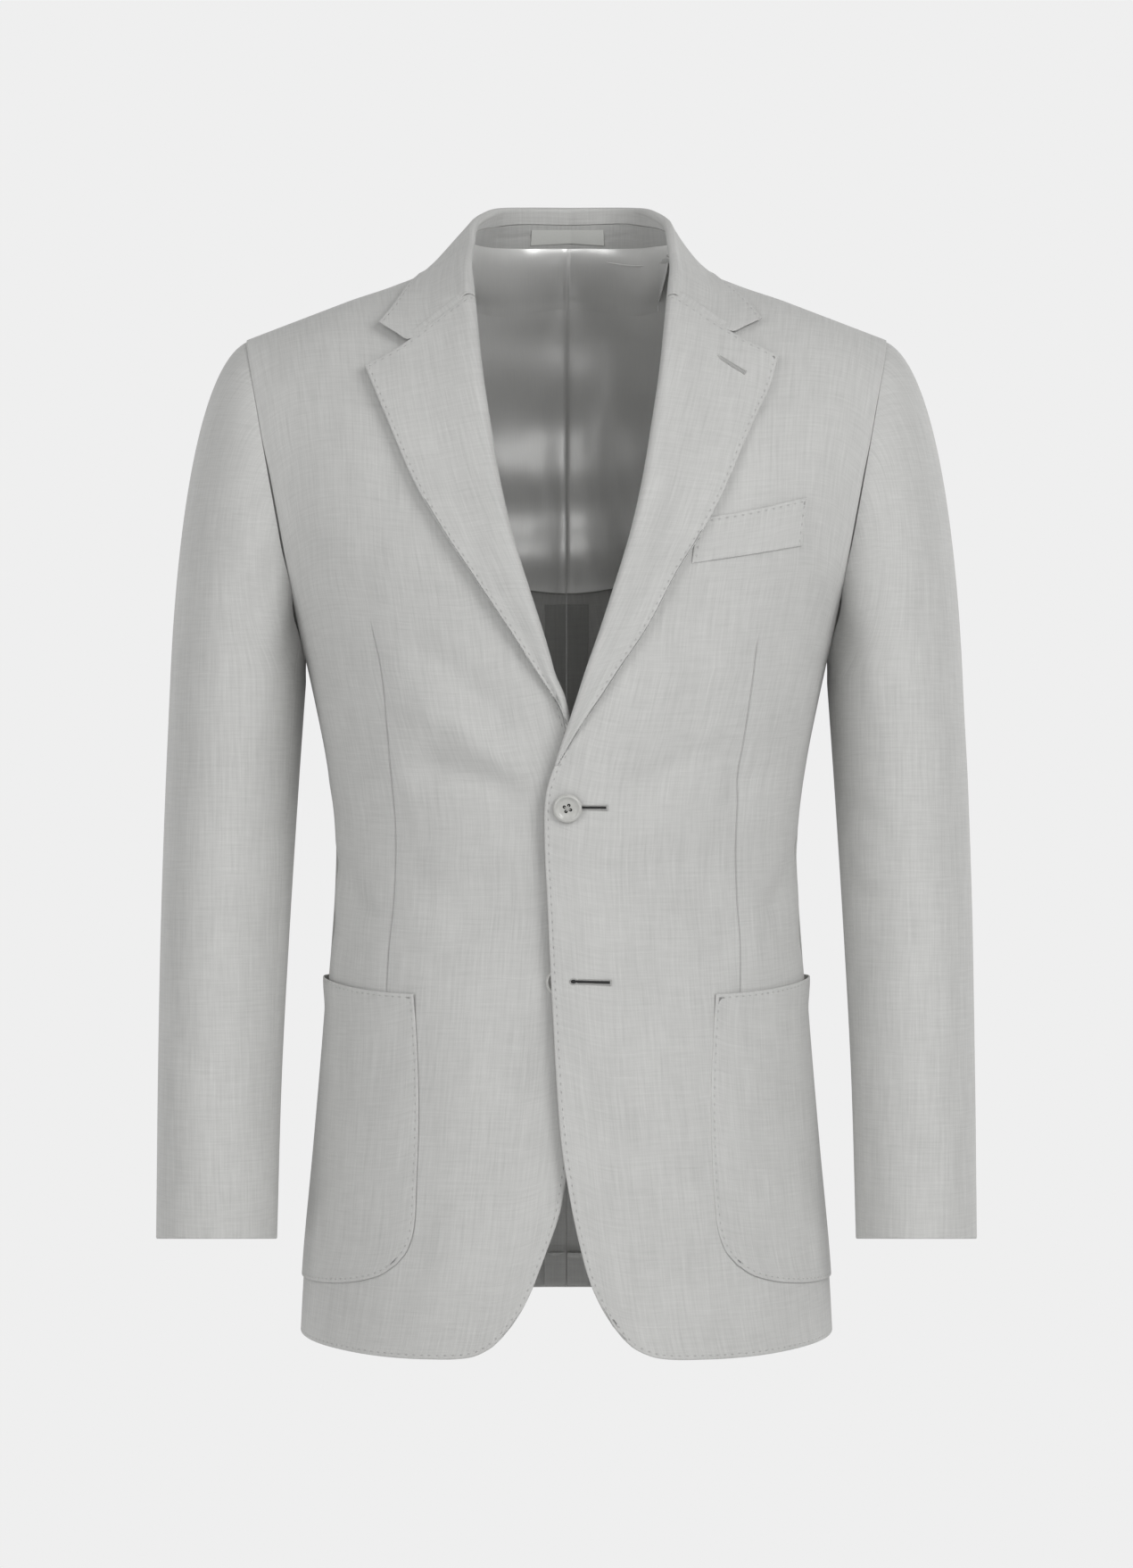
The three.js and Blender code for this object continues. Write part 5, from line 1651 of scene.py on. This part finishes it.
def collar_half(side, u, leaf_rows):
    """Half the collar's face: rows along u, columns up inside, over the fold and down the leaf."""
    curves = collar_curves(side)
    inside = [fall_inside(u, curves, share) for share in np.linspace(1, 0, 6, endpoint=False)]
    fold = np.stack([*inside, *(fold_point(u, curves, turn) for turn in FOLD_TURNS)], 1)
    start = fold_point(u, curves, np.pi / 2)
    last_start = fold_point(LAST, curves, np.pi / 2)
    last_edge = curves["edge"](LAST)[0]
    edge = curves["edge"](u)[0]
    low = blend(COLLAR_LOW, LAPEL_HEIGHT[side], u ** 4)
    bulge = COLLAR_BULGE[side] * np.sin(np.pi * np.clip(u / BULGE_END, 0, 1))
    belly = collar_fold(u, curves)[1] * bulge[:, None]
    leaf = []
    for t in leaf_rows:
        ending = place(curves["end"](np.array([t])), np.array([LAPEL_HEIGHT[side]]))
        bend = (ending - blend(last_start, last_edge, t)) * (u ** 4 * smoothstep(0, 0.12, t))[:, None]
        leaf.append(laid(blend(start, edge, t) + bend + belly * 4 * t * (1 - t), low))
    grid = np.concatenate([fold, np.stack(leaf, 1)], 1)
    return grid * (side, 1, 1)


def collar_face():
    """The collar's face, from its right end round the neck to its left end."""
    u = shares(110)
    rows = shares(24)
    left = collar_half(1, u, rows)
    right = collar_half(-1, u, rows)
    middle = (left[:1] + right[:1]) / 2
    return facing(np.concatenate([right[:0:-1], middle, left[1:]]))


def stand_surface(u, t):
    """The stand's inner face: t is 0 at the neck seam and 1 at the seam with the fall."""
    parts = []
    for side in (-1, 1):
        curves = collar_curves(side)
        half = np.abs(u)
        foot = curves["neck"](np.minimum(1, half / STAND_END))[0]
        _, out, _, _ = collar_fold(half, curves)
        head = fall_inside(half, curves, 1)
        head = (head + unit(foot - head) * STAND_UNDER)[None]
        up = t[:, None, None]
        part = blend(foot[None], head, up) - out[None] * STAND_BELLY * up * (1 - up)
        parts.append(part * (side, 1, 1))
    middle = (parts[0] + parts[1]) / 2
    sign = np.sign(u)[None, :, None]
    return np.where(sign > 0, parts[1], np.where(sign < 0, parts[0], middle))


class SUIT_OT_collar(bpy.types.Operator):
    """The collar's outer fall and the stand inside it."""
    bl_idname = "suit.collar"
    bl_label = "Collar"

    def execute(self, context):
        make_cloth("cloth_collar_fall", collar_face(), cloth_material(), node="collar_fall",
                   thickness=COLLAR_CLOTH, rounding=[0.5, 0.7, 0.5, 0.7],
                   edges="l")
        stand = stand_surface(np.linspace(-STAND_END, STAND_END, 170), shares(26))
        stand = facing(stand, NECK_CORE, inward=True)
        wrinkles = creased(stand[..., 0], stand[..., 2], STAND_WRINKLES) * crease_strength()
        stand = stand + grid_normals(stand) * wrinkles[..., None]
        # The stand's cloth is darkened to 0.78: painted shade.
        make_cloth("cloth_collar_stand", stand, cloth_material("Stand cloth", 0.78),
                   node="collar_stand", rounding=[SEAM_ROUND] * 4)
        return {"FINISHED"}


class SUIT_OT_label(bpy.types.Operator):
    """The bare woven label on the stand."""
    bl_idname = "suit.label"
    bl_label = "Neck label"

    def execute(self, context):
        u = np.linspace(-LABEL_SPAN, LABEL_SPAN, 40) - LABEL_SHIFT
        face = facing(stand_surface(u, np.linspace(*LABEL_RISE, 12)), NECK_CORE, inward=True)
        face = face + grid_normals(face) * LABEL_LIFT
        look = context.scene.suit_jacket
        material = plain_material("Label tape", look.label_colour, 0.75, grain=1500)
        make_cloth("neck_label_tape", face, material, node="neck_label",
                   thickness=0.6, rounding=[0.2] * 4)
        return {"FINISHED"}


# ======== pockets ========
def pocket_face(side):
    """A patch pocket's face, with its mouth a little open."""
    shift = POCKET_SHIFT if side < 0 else 0
    inner_line = along_table(dict(POCKET_INNER, x=POCKET_INNER["x"] + shift))
    bottom_of = smooth(POCKET_BOTTOM, "u")

    def bottom(u):
        row = bottom_of(u)
        return pair(np.radians(row["angle"]), hem_v(row["z"]))

    def inner(w):
        at = inner_line(w)
        corner = 1 - np.minimum(1, w * 4)
        return pair(at[:, 0] + (bottom(FIRST)[0, 0] - inner_line(FIRST)[0, 0]) * corner, at[:, 1])

    def outer(w):
        end = bottom(LAST)[0]
        return pair(end[0], blend(end[1], hem_v(POCKET_TOP_SIDE_Z), w))

    def top(u):
        start, end = inner(LAST)[0], outer(LAST)[0]
        return pair(blend(start[0], end[0], u), blend(start[1], end[1], smoothstep(0, POCKET_TOP_BEND, u)))

    at = patch(inner, outer, bottom, top, shares(66) ** 1.1, shares(72))
    point = on_body(at)
    w, u = np.meshgrid(np.linspace(0, 1, at.shape[0]), np.linspace(0, 1, at.shape[1]), indexing="ij")
    along = blend(MOUTH_FRONT, 1, smoothstep(0.1, 0.9, u))
    open_mouth = MOUTH_LIFT * smoothstep(MOUTH_START, 1, w) * along
    height = relief(point, side) + PATCH_LIFT + PATCH_CLOTH + open_mouth
    return facing(place(at, height) * (side, 1, 1))


def welt_face():
    """The face of the chest pocket's welt, which slants a little as it rises."""
    rise = smooth(WELT, "u")
    u, w = np.meshgrid(shares(40), shares(16))
    row = rise(u)
    x = row["x"] - WELT_SLANT * (1 - w)
    at = seen(x, blend(row["bottom"], row["top"], w))
    point = on_body(at)
    return facing(place(at, relief(point) + PATCH_LIFT + PATCH_CLOTH))


class SUIT_OT_pockets(bpy.types.Operator):
    """The two patch pockets and the chest pocket's welt."""
    bl_idname = "suit.pockets"
    bl_label = "Pockets"

    def execute(self, context):
        for name, side in SIDES:
            make_cloth(f"cloth_pocket_{name}", pocket_face(side), cloth_material(),
                       node=f"patch_pocket_{name}", rounding=[0.5] * 4, thickness=PATCH_CLOTH,
                       edges="blrt")
        make_cloth("cloth_chest_welt", welt_face(), cloth_material(), node="chest_welt",
                   rounding=[0.5] * 4, thickness=PATCH_CLOTH, edges="rtl")
        return {"FINISHED"}


# ======== buttons ========
BUTTON_PROFILE = table(
    "radius height",
    (0, 1.5), (3.6, 1.5), (5.4, 1.75), (6.6, 2.3), (7.3, 3.0), (7.8, 3.3), (8.4, 3.2), (9.1, 2.6),
    (9.5, 1.8), (9.3, 1.0), (8.4, 0.35), (6, 0), (0, 0),
)
BUTTON_TURN = math.radians(20)
BUTTON_HOLE = 1.1
BUTTON_PITCH = 3.2
# The near-black disc under a button, painted shade seen through its holes: its radius and its top.
SHADE_DISC_RADIUS = 5.5
SHADE_DISC_TOP = 0.12
STRAND_RADIUS = 0.27
STRAND_TOP = 2.3  # the thread's height in the middle, and how far it dips into the holes
STRAND_DIP = 1.3
STRAND_OVER = 1.02  # how far past a hole's middle it runs
BUTTON_CREASE = 38  # edges sharper than this many degrees stay crisp


def button_solid(name):
    """A turned button with a raised rim, and four holes cut through it."""
    around = np.linspace(0, 2 * np.pi, 64, endpoint=False)
    radius, height = BUTTON_PROFILE["radius"], BUTTON_PROFILE["height"]
    rings = slice(1, -1)
    ring_points = np.stack([radius[rings, None] * np.cos(around), radius[rings, None] * np.sin(around),
                            height[rings, None] + 0 * around], -1)
    count, sides = ring_points.shape[:2]
    points = np.concatenate([ring_points.reshape(-1, 3), [[0, 0, height[0]], [0, 0, 0]]])
    index = np.arange(count * sides).reshape(count, sides)
    quads = np.stack([index[:-1], index[1:], np.roll(index[1:], -1, 1), np.roll(index[:-1], -1, 1)], -1)
    top, bottom = count * sides, count * sides + 1
    fans = [[top, a, b] for a, b in zip(index[0], np.roll(index[0], -1))]
    fans += [[bottom, b, a] for a, b in zip(index[-1], np.roll(index[-1], -1))]
    faces = quads.reshape(-1, 4).tolist() + [[int(k) for k in fan] for fan in fans]
    mesh = bpy.data.meshes.new(name)
    mesh.from_pydata(points.tolist(), [], faces)
    solid = bpy.data.objects.new(name, mesh)
    bpy.context.scene.collection.objects.link(solid)
    half = BUTTON_PITCH / 2
    drills = []
    for x, y in ((half, half), (-half, half), (-half, -half), (half, -half)):
        bpy.ops.mesh.primitive_cylinder_add(vertices=20, radius=BUTTON_HOLE, depth=12, location=(x, y, 1))
        drill = bpy.context.object
        drills.append(drill)
        cut = solid.modifiers.new("hole", "BOOLEAN")
        cut.object = drill
        cut.solver = "EXACT"
    cut_mesh = bpy.data.meshes.new_from_object(solid.evaluated_get(bpy.context.evaluated_depsgraph_get()))
    for made in [*drills, solid]:
        bpy.data.objects.remove(made)
    found = np.empty(len(cut_mesh.vertices) * 3)
    cut_mesh.vertices.foreach_get("co", found)
    faces = [list(p.vertices) for p in cut_mesh.polygons]
    bpy.data.meshes.remove(cut_mesh)
    return found.reshape(-1, 3), faces


def upright_frame(at, height):
    """A place on the body and its across, up and outward directions."""
    origin = place(at, np.asarray(height, float))
    out = outward(at[..., 0], at[..., 1])
    across = unit(np.cross(np.array([0, 0, 1.0]), out))
    return origin, across, np.cross(out, across), out


def tube(line, radius, sides=8):
    """A closed tube round a line of points, with a cap fan at each end.

    Each ring is a circle in the plane of two directions at right angles to the line; radius may
    differ from point to point.
    """
    way = unit(np.gradient(line, axis=0))
    spare = np.array([0.31, 0.17, 0.93])
    a = unit(np.cross(way, spare))
    b = np.cross(way, a)
    turn = np.linspace(0, 2 * np.pi, sides, endpoint=False)
    radius = np.broadcast_to(radius, len(line))[:, None, None]
    ring = line[:, None] + radius * (a[:, None] * np.cos(turn)[:, None] + b[:, None] * np.sin(turn)[:, None])
    count = len(line)
    index = np.arange(count * sides).reshape(count, sides)
    quads = np.stack([index[:-1], np.roll(index[:-1], -1, 1), np.roll(index[1:], -1, 1), index[1:]], -1)
    points = np.concatenate([ring.reshape(-1, 3), line[:1], line[-1:]])
    start, end = count * sides, count * sides + 1
    caps = np.stack([np.full(sides, start), np.roll(index[0], -1), index[0], index[0]], -1)
    tail = np.stack([np.full(sides, end), index[-1], np.roll(index[-1], -1), np.roll(index[-1], -1)], -1)
    faces = [list(q) for q in quads.reshape(-1, 4)]
    faces += [list(q[:3]) for q in caps] + [list(q[:3]) for q in tail]
    return points, faces


def joined(parts):
    """Several lists of points and faces as one."""
    points, faces, passed = [], [], 0
    for part_points, part_faces in parts:
        points.append(part_points)
        faces += [[int(k) + passed for k in face] for face in part_faces]
        passed += len(part_points)
    return np.concatenate(points), faces


class SUIT_OT_buttons(bpy.types.Operator):
    """The two buttons, with crossed thread through their four holes, and a near-black disc of painted shade
    under each.
    """
    bl_idname = "suit.buttons"
    bl_label = "Buttons"

    def execute(self, context):
        look = context.scene.suit_jacket
        material = plain_material("Button", look.button_colour, 0.24, spread=0.10, grain=300)
        thread = plain_material("Button thread", look.button_thread_colour, 0.7, grain=4000)
        # A near-black disc under each button: painted shade seen through its four holes.
        hole_shade = plain_material("Wound shank", look.painted_shade_colour, 0.8, grain=4000)
        for name, (x, z), lift in (("top", TOP_BUTTON, OVERLAP_LIFT), ("lower", LOWER_BUTTON, 0)):
            points, faces = button_solid(name)
            origin, across, up, out = upright_frame(seen(np.array(x), np.array(z)), lift + BUTTON_SHANK)
            turned, climb = math.cos(BUTTON_TURN), math.sin(BUTTON_TURN)
            basis = np.stack([turned * across + climb * up, turned * up - climb * across, out])
            make_piece(f"jacket_button_{name}", origin + points @ basis, faces, material,
                       node=f"button_{name}", sharp=BUTTON_CREASE)
            half = BUTTON_PITCH / 2
            strands = []
            for x0, y0 in ((half, half), (-half, half)):
                t = np.linspace(-1, 1, 15)
                rise = STRAND_TOP - STRAND_DIP * np.abs(t) ** 5
                strand = np.stack([x0 * t * STRAND_OVER, y0 * t * STRAND_OVER, rise], -1)
                strands.append(tube(origin + strand @ basis, STRAND_RADIUS, 8))
            points, faces = joined(strands)
            make_piece(f"button_thread_{name}", points, faces, thread)
            shade_disc = np.stack([np.zeros(5), np.zeros(5), np.linspace(-BUTTON_SHANK + 0.1, SHADE_DISC_TOP, 5)], -1)
            points, faces = tube(origin + shade_disc @ basis, SHADE_DISC_RADIUS, 24)
            make_piece(f"button_shade_disc_{name}", points, faces, hole_shade)
        return {"FINISHED"}


# ======== buttonholes ========
BUTTONHOLES = (
    # name, x and z of the eye, x and z of the other end, half width, how far open, on the lapel
    ("top", 6.0, -373.6, 25.8, -373.7, 1.3, 0.85, False),
    ("lower", 4.6, -489.2, 28.2, -489.9, 1.4, 0.9, False),
    ("lapel", 99.1, -76.0, 117.4, -87.1, 1.05, 0.0, True),
)
PURL_PITCH = 0.75
PURL_RADIUS = 0.5
PURL_SWELL = 0.28  # how much a purl is thicker and thinner than the mean, as a share
PURL_STEP = 0.16
PURL_LIFT = 0.12
EYE_SHARE = 1.25  # the eye's radius against half the width
BAR_REACH = 0.6  # how far the bar at the end passes the sides
BAR_LIFT = 0.3
BAR_RADIUS = 0.5
CORD_RADIUS = 0.75
SLIT_LIFT = 0.22
SLIT_SHADE_THICKNESS = 0.5


def keyhole(length, half, eye):
    """A buttonhole's outline, once round: a round eye, two straight sides and a blunt end.

    It is a circle round the eye for the part beyond 35 degrees, joined to lines at half the width.
    """
    turn = np.radians(np.linspace(35, 325, 40))
    circle = np.stack([eye * np.cos(turn), eye * np.sin(turn)], -1)
    run = np.linspace(eye * 1.4, length, 60)
    lower = np.stack([run, -half + 0 * run], -1)
    end = np.stack([np.full(6, length + 0.3), np.linspace(-half, half, 6)], -1)
    return np.concatenate([circle, lower, end, lower[::-1] * (1, -1)])


def evenly(line, step):
    """Points at even distances along a line."""
    gone = np.concatenate([[0], np.cumsum(np.linalg.norm(np.diff(line, axis=0), axis=-1))])
    at = np.linspace(0, gone[-1], max(4, int(gone[-1] / step)))
    return np.stack([np.interp(at, gone, line[:, k]) for k in range(line.shape[1])], -1), at


def slit_sheet(length, open_half, eye):
    """A buttonhole's opening, a near-black sheet of painted shade: a disc for the eye that narrows to a
    slit.
    """
    run = np.linspace(-eye, length, 60)
    wide = np.where(run < eye * 0.9, np.sqrt(np.maximum(eye ** 2 - run ** 2, 0.02)), open_half)
    wide = np.maximum(wide * 0.9, open_half * np.clip(1 - run / length, 0, 1) + 0.12)
    across = np.linspace(-1, 1, 7)
    return np.stack([run[None] + 0 * across[:, None], wide[None] * across[:, None]], -1)


class SUIT_OT_buttonholes(bpy.types.Operator):
    """The worked buttonholes of the left front, and the one in its lapel."""
    bl_idname = "suit.buttonholes"
    bl_label = "Buttonholes"

    def execute(self, context):
        look = context.scene.suit_jacket
        silk = plain_material("Buttonhole silk", look.silk_colour, 0.6, spread=0.12, grain=2500)
        # The slits' colour is near-black painted shade.
        dark = plain_material("Inside of a slit", look.painted_shade_colour, 0.9, grain=2500)
        for name, x0, z0, x1, z1, half, opened, on_lapel in BUTTONHOLES:
            start, end = seen(np.array(x0), np.array(z0)), seen(np.array(x1), np.array(z1))
            middle = (start + end) / 2
            lift = overlap(on_body(middle)) + (LAPEL_HEIGHT[1] if on_lapel else 0)
            first, last = place(start, lift), place(end, lift)
            out = outward(middle[0], middle[1])
            along = unit(last - first)
            across = np.cross(out, along)
            length = float(np.linalg.norm(last - first))
            eye = half * EYE_SHARE

            def laid_on(flat, height):
                """Flat points on the cloth: the way along follows the cloth's curve."""
                at = start + (end - start) * (flat[..., :1] / length)
                on = place(at, np.full(at.shape[:-1], lift) + height)
                return on + across * flat[..., 1:2]

            ring, gone = evenly(keyhole(length, half, eye), PURL_STEP)
            purl = PURL_RADIUS * (1 + PURL_SWELL * np.cos(gone * 2 * np.pi / PURL_PITCH))
            parts = [tube(laid_on(ring, PURL_LIFT), purl, 6)]
            across_bar = np.linspace(-half - BAR_REACH, half + BAR_REACH, 9)
            bar = np.stack([np.full(9, length + 0.2), across_bar], -1)
            parts.append(tube(laid_on(bar, BAR_LIFT), BAR_RADIUS, 6))
            if on_lapel:
                core = np.stack([np.linspace(0, length, 30), np.zeros(30)], -1)
                parts.append(tube(laid_on(core, 0.0), CORD_RADIUS, 6))
            points, faces = joined(parts)
            make_piece(f"buttonhole_{name}", points, faces, silk)
            # An open buttonhole's opening is a near-black sheet of painted shade.
            if opened:
                slit = slit_sheet(length, opened, eye * 0.8)
                face = facing(laid_on(slit, SLIT_LIFT))
                points, faces, _ = wall(face, SLIT_SHADE_THICKNESS, [0.1] * 4)
                make_piece(f"buttonhole_slit_shade_{name}", points, faces.tolist(), dark)
        return {"FINISHED"}


# ======== stage ========
FLOOR_RADIUS = 2.4
FLOOR_Z = -1.5
LIGHT_AIM = (0, 0, -0.35)
LIGHTS = (
    # name, place, width and height, power
    ("key_light_high", (1.7, -2.1, 0.95), (1.2, 1.6), 41),
    ("key_light_level", (2.4, -1.6, -0.3), (1.4, 2.2), 12),
    ("fill_light_level", (-2.3, -1.9, -0.3), (1.4, 2.4), 20),
    ("fill_light_high", (-1.7, -2.1, 0.95), (1.2, 1.6), 17),
    ("front_light", (0.35, -3.1, 0.55), (0.7, 0.7), 8),
    ("back_light_left", (1.9, 2.2, 0.7), (1.4, 2.0), 34),
    ("back_light_right", (-1.9, 2.2, 0.5), (1.4, 2.0), 26),
)


def add_floor(look):
    """A wide pale floor far below the hem."""
    bpy.ops.mesh.primitive_circle_add(vertices=96, radius=FLOOR_RADIUS, fill_type="NGON",
                                      location=(0, 0, FLOOR_Z))
    floor = bpy.context.object
    floor.name = "studio_floor"
    floor.data.materials.append(plain_material("Pale floor", look.backdrop_colour, 0.9, 0.01, 40))


def light_world(scene, look):
    """An even white light from all round, in front of a plain backdrop that only the camera sees."""
    world = scene.world or bpy.data.worlds.new("Studio")
    scene.world = world
    world.use_nodes = True
    tree = world.node_tree
    tree.nodes.clear()
    lit = add_node(tree, "Background", Color=(1, 1, 1, 1), Strength=look.ambient)
    shown = add_node(tree, "Background", Color=(*look.backdrop_colour, 1))
    mix = add_node(tree, "MixShader")
    sources = (add_node(tree, "LightPath").outputs["Is Camera Ray"], lit.outputs[0], shown.outputs[0])
    for socket, source in zip(mix.inputs, sources):
        tree.links.new(source, socket)
    add_node(tree, "OutputWorld", Surface=mix.outputs[0])


def add_lamps(scene, look):
    """Soft rectangular lamps, all turned towards the jacket."""
    for name, where, size, power in LIGHTS:
        data = bpy.data.lights.new(name, "AREA")
        data.shape = "RECTANGLE"
        data.size, data.size_y = size
        data.energy = power * look.light_power
        lamp = bpy.data.objects.new(name, data)
        lamp.location = where
        aim = Vector(LIGHT_AIM) - Vector(where)
        lamp.rotation_euler = aim.to_track_quat("-Z", "Y").to_euler()
        scene.collection.objects.link(lamp)


def add_camera(scene, look):
    """The camera, level and straight in front."""
    data = bpy.data.cameras.new("camera")
    data.lens = look.lens
    camera = bpy.data.objects.new("camera", data)
    camera.location = (0, -look.camera_distance, look.camera_height)
    camera.rotation_euler = (math.pi / 2, 0, 0)
    scene.collection.objects.link(camera)
    scene.camera = camera


class SUIT_OT_stage(bpy.types.Operator):
    """Pale floor, soft studio light and the camera."""
    bl_idname = "suit.stage"
    bl_label = "Stage"

    def execute(self, context):
        scene = context.scene
        scene.view_settings.view_transform = "Standard"
        add_floor(scene.suit_jacket)
        for add in (light_world, add_lamps, add_camera):
            add(scene, scene.suit_jacket)
        return {"FINISHED"}


# ======== settings, panel and registration ========
def colour_setting(name, description, default):
    return bpy.props.FloatVectorProperty(
        name=name, description=description, default=default, size=3, subtype="COLOR", min=0, max=1)


def number_setting(name, description, default, **limits):
    return bpy.props.FloatProperty(name=name, description=description, default=default, **limits)


class SuitJacketSettings(bpy.types.PropertyGroup):
    """Sizes and colours of the jacket's finish."""
    creases: number_setting("Creases", "How deep the cloth's creases are", 1.0, min=0, max=3)
    thread_pitch: number_setting(
        "Thread pitch", "The distance between two threads of the weave", 0.00032,
        min=0.0001, max=0.002, unit="LENGTH", precision=5)
    slub_contrast: number_setting(
        "Slub contrast", "How much lighter and darker single threads are", 0.2,
        min=0, max=1, subtype="FACTOR")
    sheen: number_setting(
        "Sheen", "The cloth's soft bloom at a low angle", 0.15, min=0, max=1, subtype="FACTOR")
    cloth_colour: colour_setting("Cloth", "The suit cloth's colour", (0.486, 0.486, 0.475))
    lining_colour: colour_setting("Lining", "The lining's colour", (0.70, 0.70, 0.688))
    label_colour: colour_setting("Label", "The neck label's colour", (0.47, 0.475, 0.455))
    button_colour: colour_setting("Buttons", "The buttons' colour", (0.46, 0.46, 0.44))
    button_thread_colour: colour_setting(
        "Button thread", "The colour of the thread in the buttons", (0.42, 0.42, 0.40))
    silk_colour: colour_setting(
        "Buttonhole silk", "The colour of the buttonholes' thread", (0.36, 0.36, 0.35))
    # Painted shade: the near-black colour of the buttonhole slits and of the discs under the buttons.
    painted_shade_colour: colour_setting("Slit", "The colour inside a buttonhole's slit", (0.02, 0.02, 0.02))
    backdrop_colour: colour_setting(
        "Backdrop", "The colour of floor and surroundings", (0.863, 0.863, 0.863))
    ambient: number_setting(
        "Ambient light", "Strength of the even light from all round", 0.25, min=0, max=3)
    light_power: number_setting("Light power", "Multiplies every lamp's power", 1.0, min=0, max=10)
    lens: number_setting("Lens", "The camera's focal length, in millimetres", 107.5, min=10)
    camera_distance: number_setting(
        "Camera distance", "From the camera to the neck", 3.2, unit="LENGTH")
    camera_height: number_setting(
        "Camera height", "The camera's height over the neck", -0.359, unit="LENGTH")


STEPS = (
    SUIT_OT_stage, SUIT_OT_fronts, SUIT_OT_side_bodies, SUIT_OT_backs, SUIT_OT_lining,
    SUIT_OT_sleeves, SUIT_OT_lapels, SUIT_OT_collar, SUIT_OT_label, SUIT_OT_pockets,
    SUIT_OT_buttons, SUIT_OT_buttonholes,
)


class SUIT_PT_jacket(bpy.types.Panel):
    """The jacket's settings and building steps."""
    bl_idname = "SUIT_PT_jacket"
    bl_label = "Suit jacket"
    bl_space_type = "VIEW_3D"
    bl_region_type = "UI"
    bl_category = "Jacket"

    def draw(self, context):
        column = self.layout.column()
        for name in SuitJacketSettings.__annotations__:
            column.prop(context.scene.suit_jacket, name)
        for step in STEPS:
            column.operator(step.bl_idname)


def register():
    for made in (SuitJacketSettings, *STEPS, SUIT_PT_jacket):
        bpy.utils.register_class(made)
    bpy.types.Scene.suit_jacket = bpy.props.PointerProperty(type=SuitJacketSettings)


def unregister():
    del bpy.types.Scene.suit_jacket
    for made in reversed((SuitJacketSettings, *STEPS, SUIT_PT_jacket)):
        bpy.utils.unregister_class(made)


def main():
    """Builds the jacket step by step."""
    register()
    for step in STEPS:
        getattr(bpy.ops.suit, step.bl_idname.split(".")[1])()


if __name__ == "__main__":
    main()
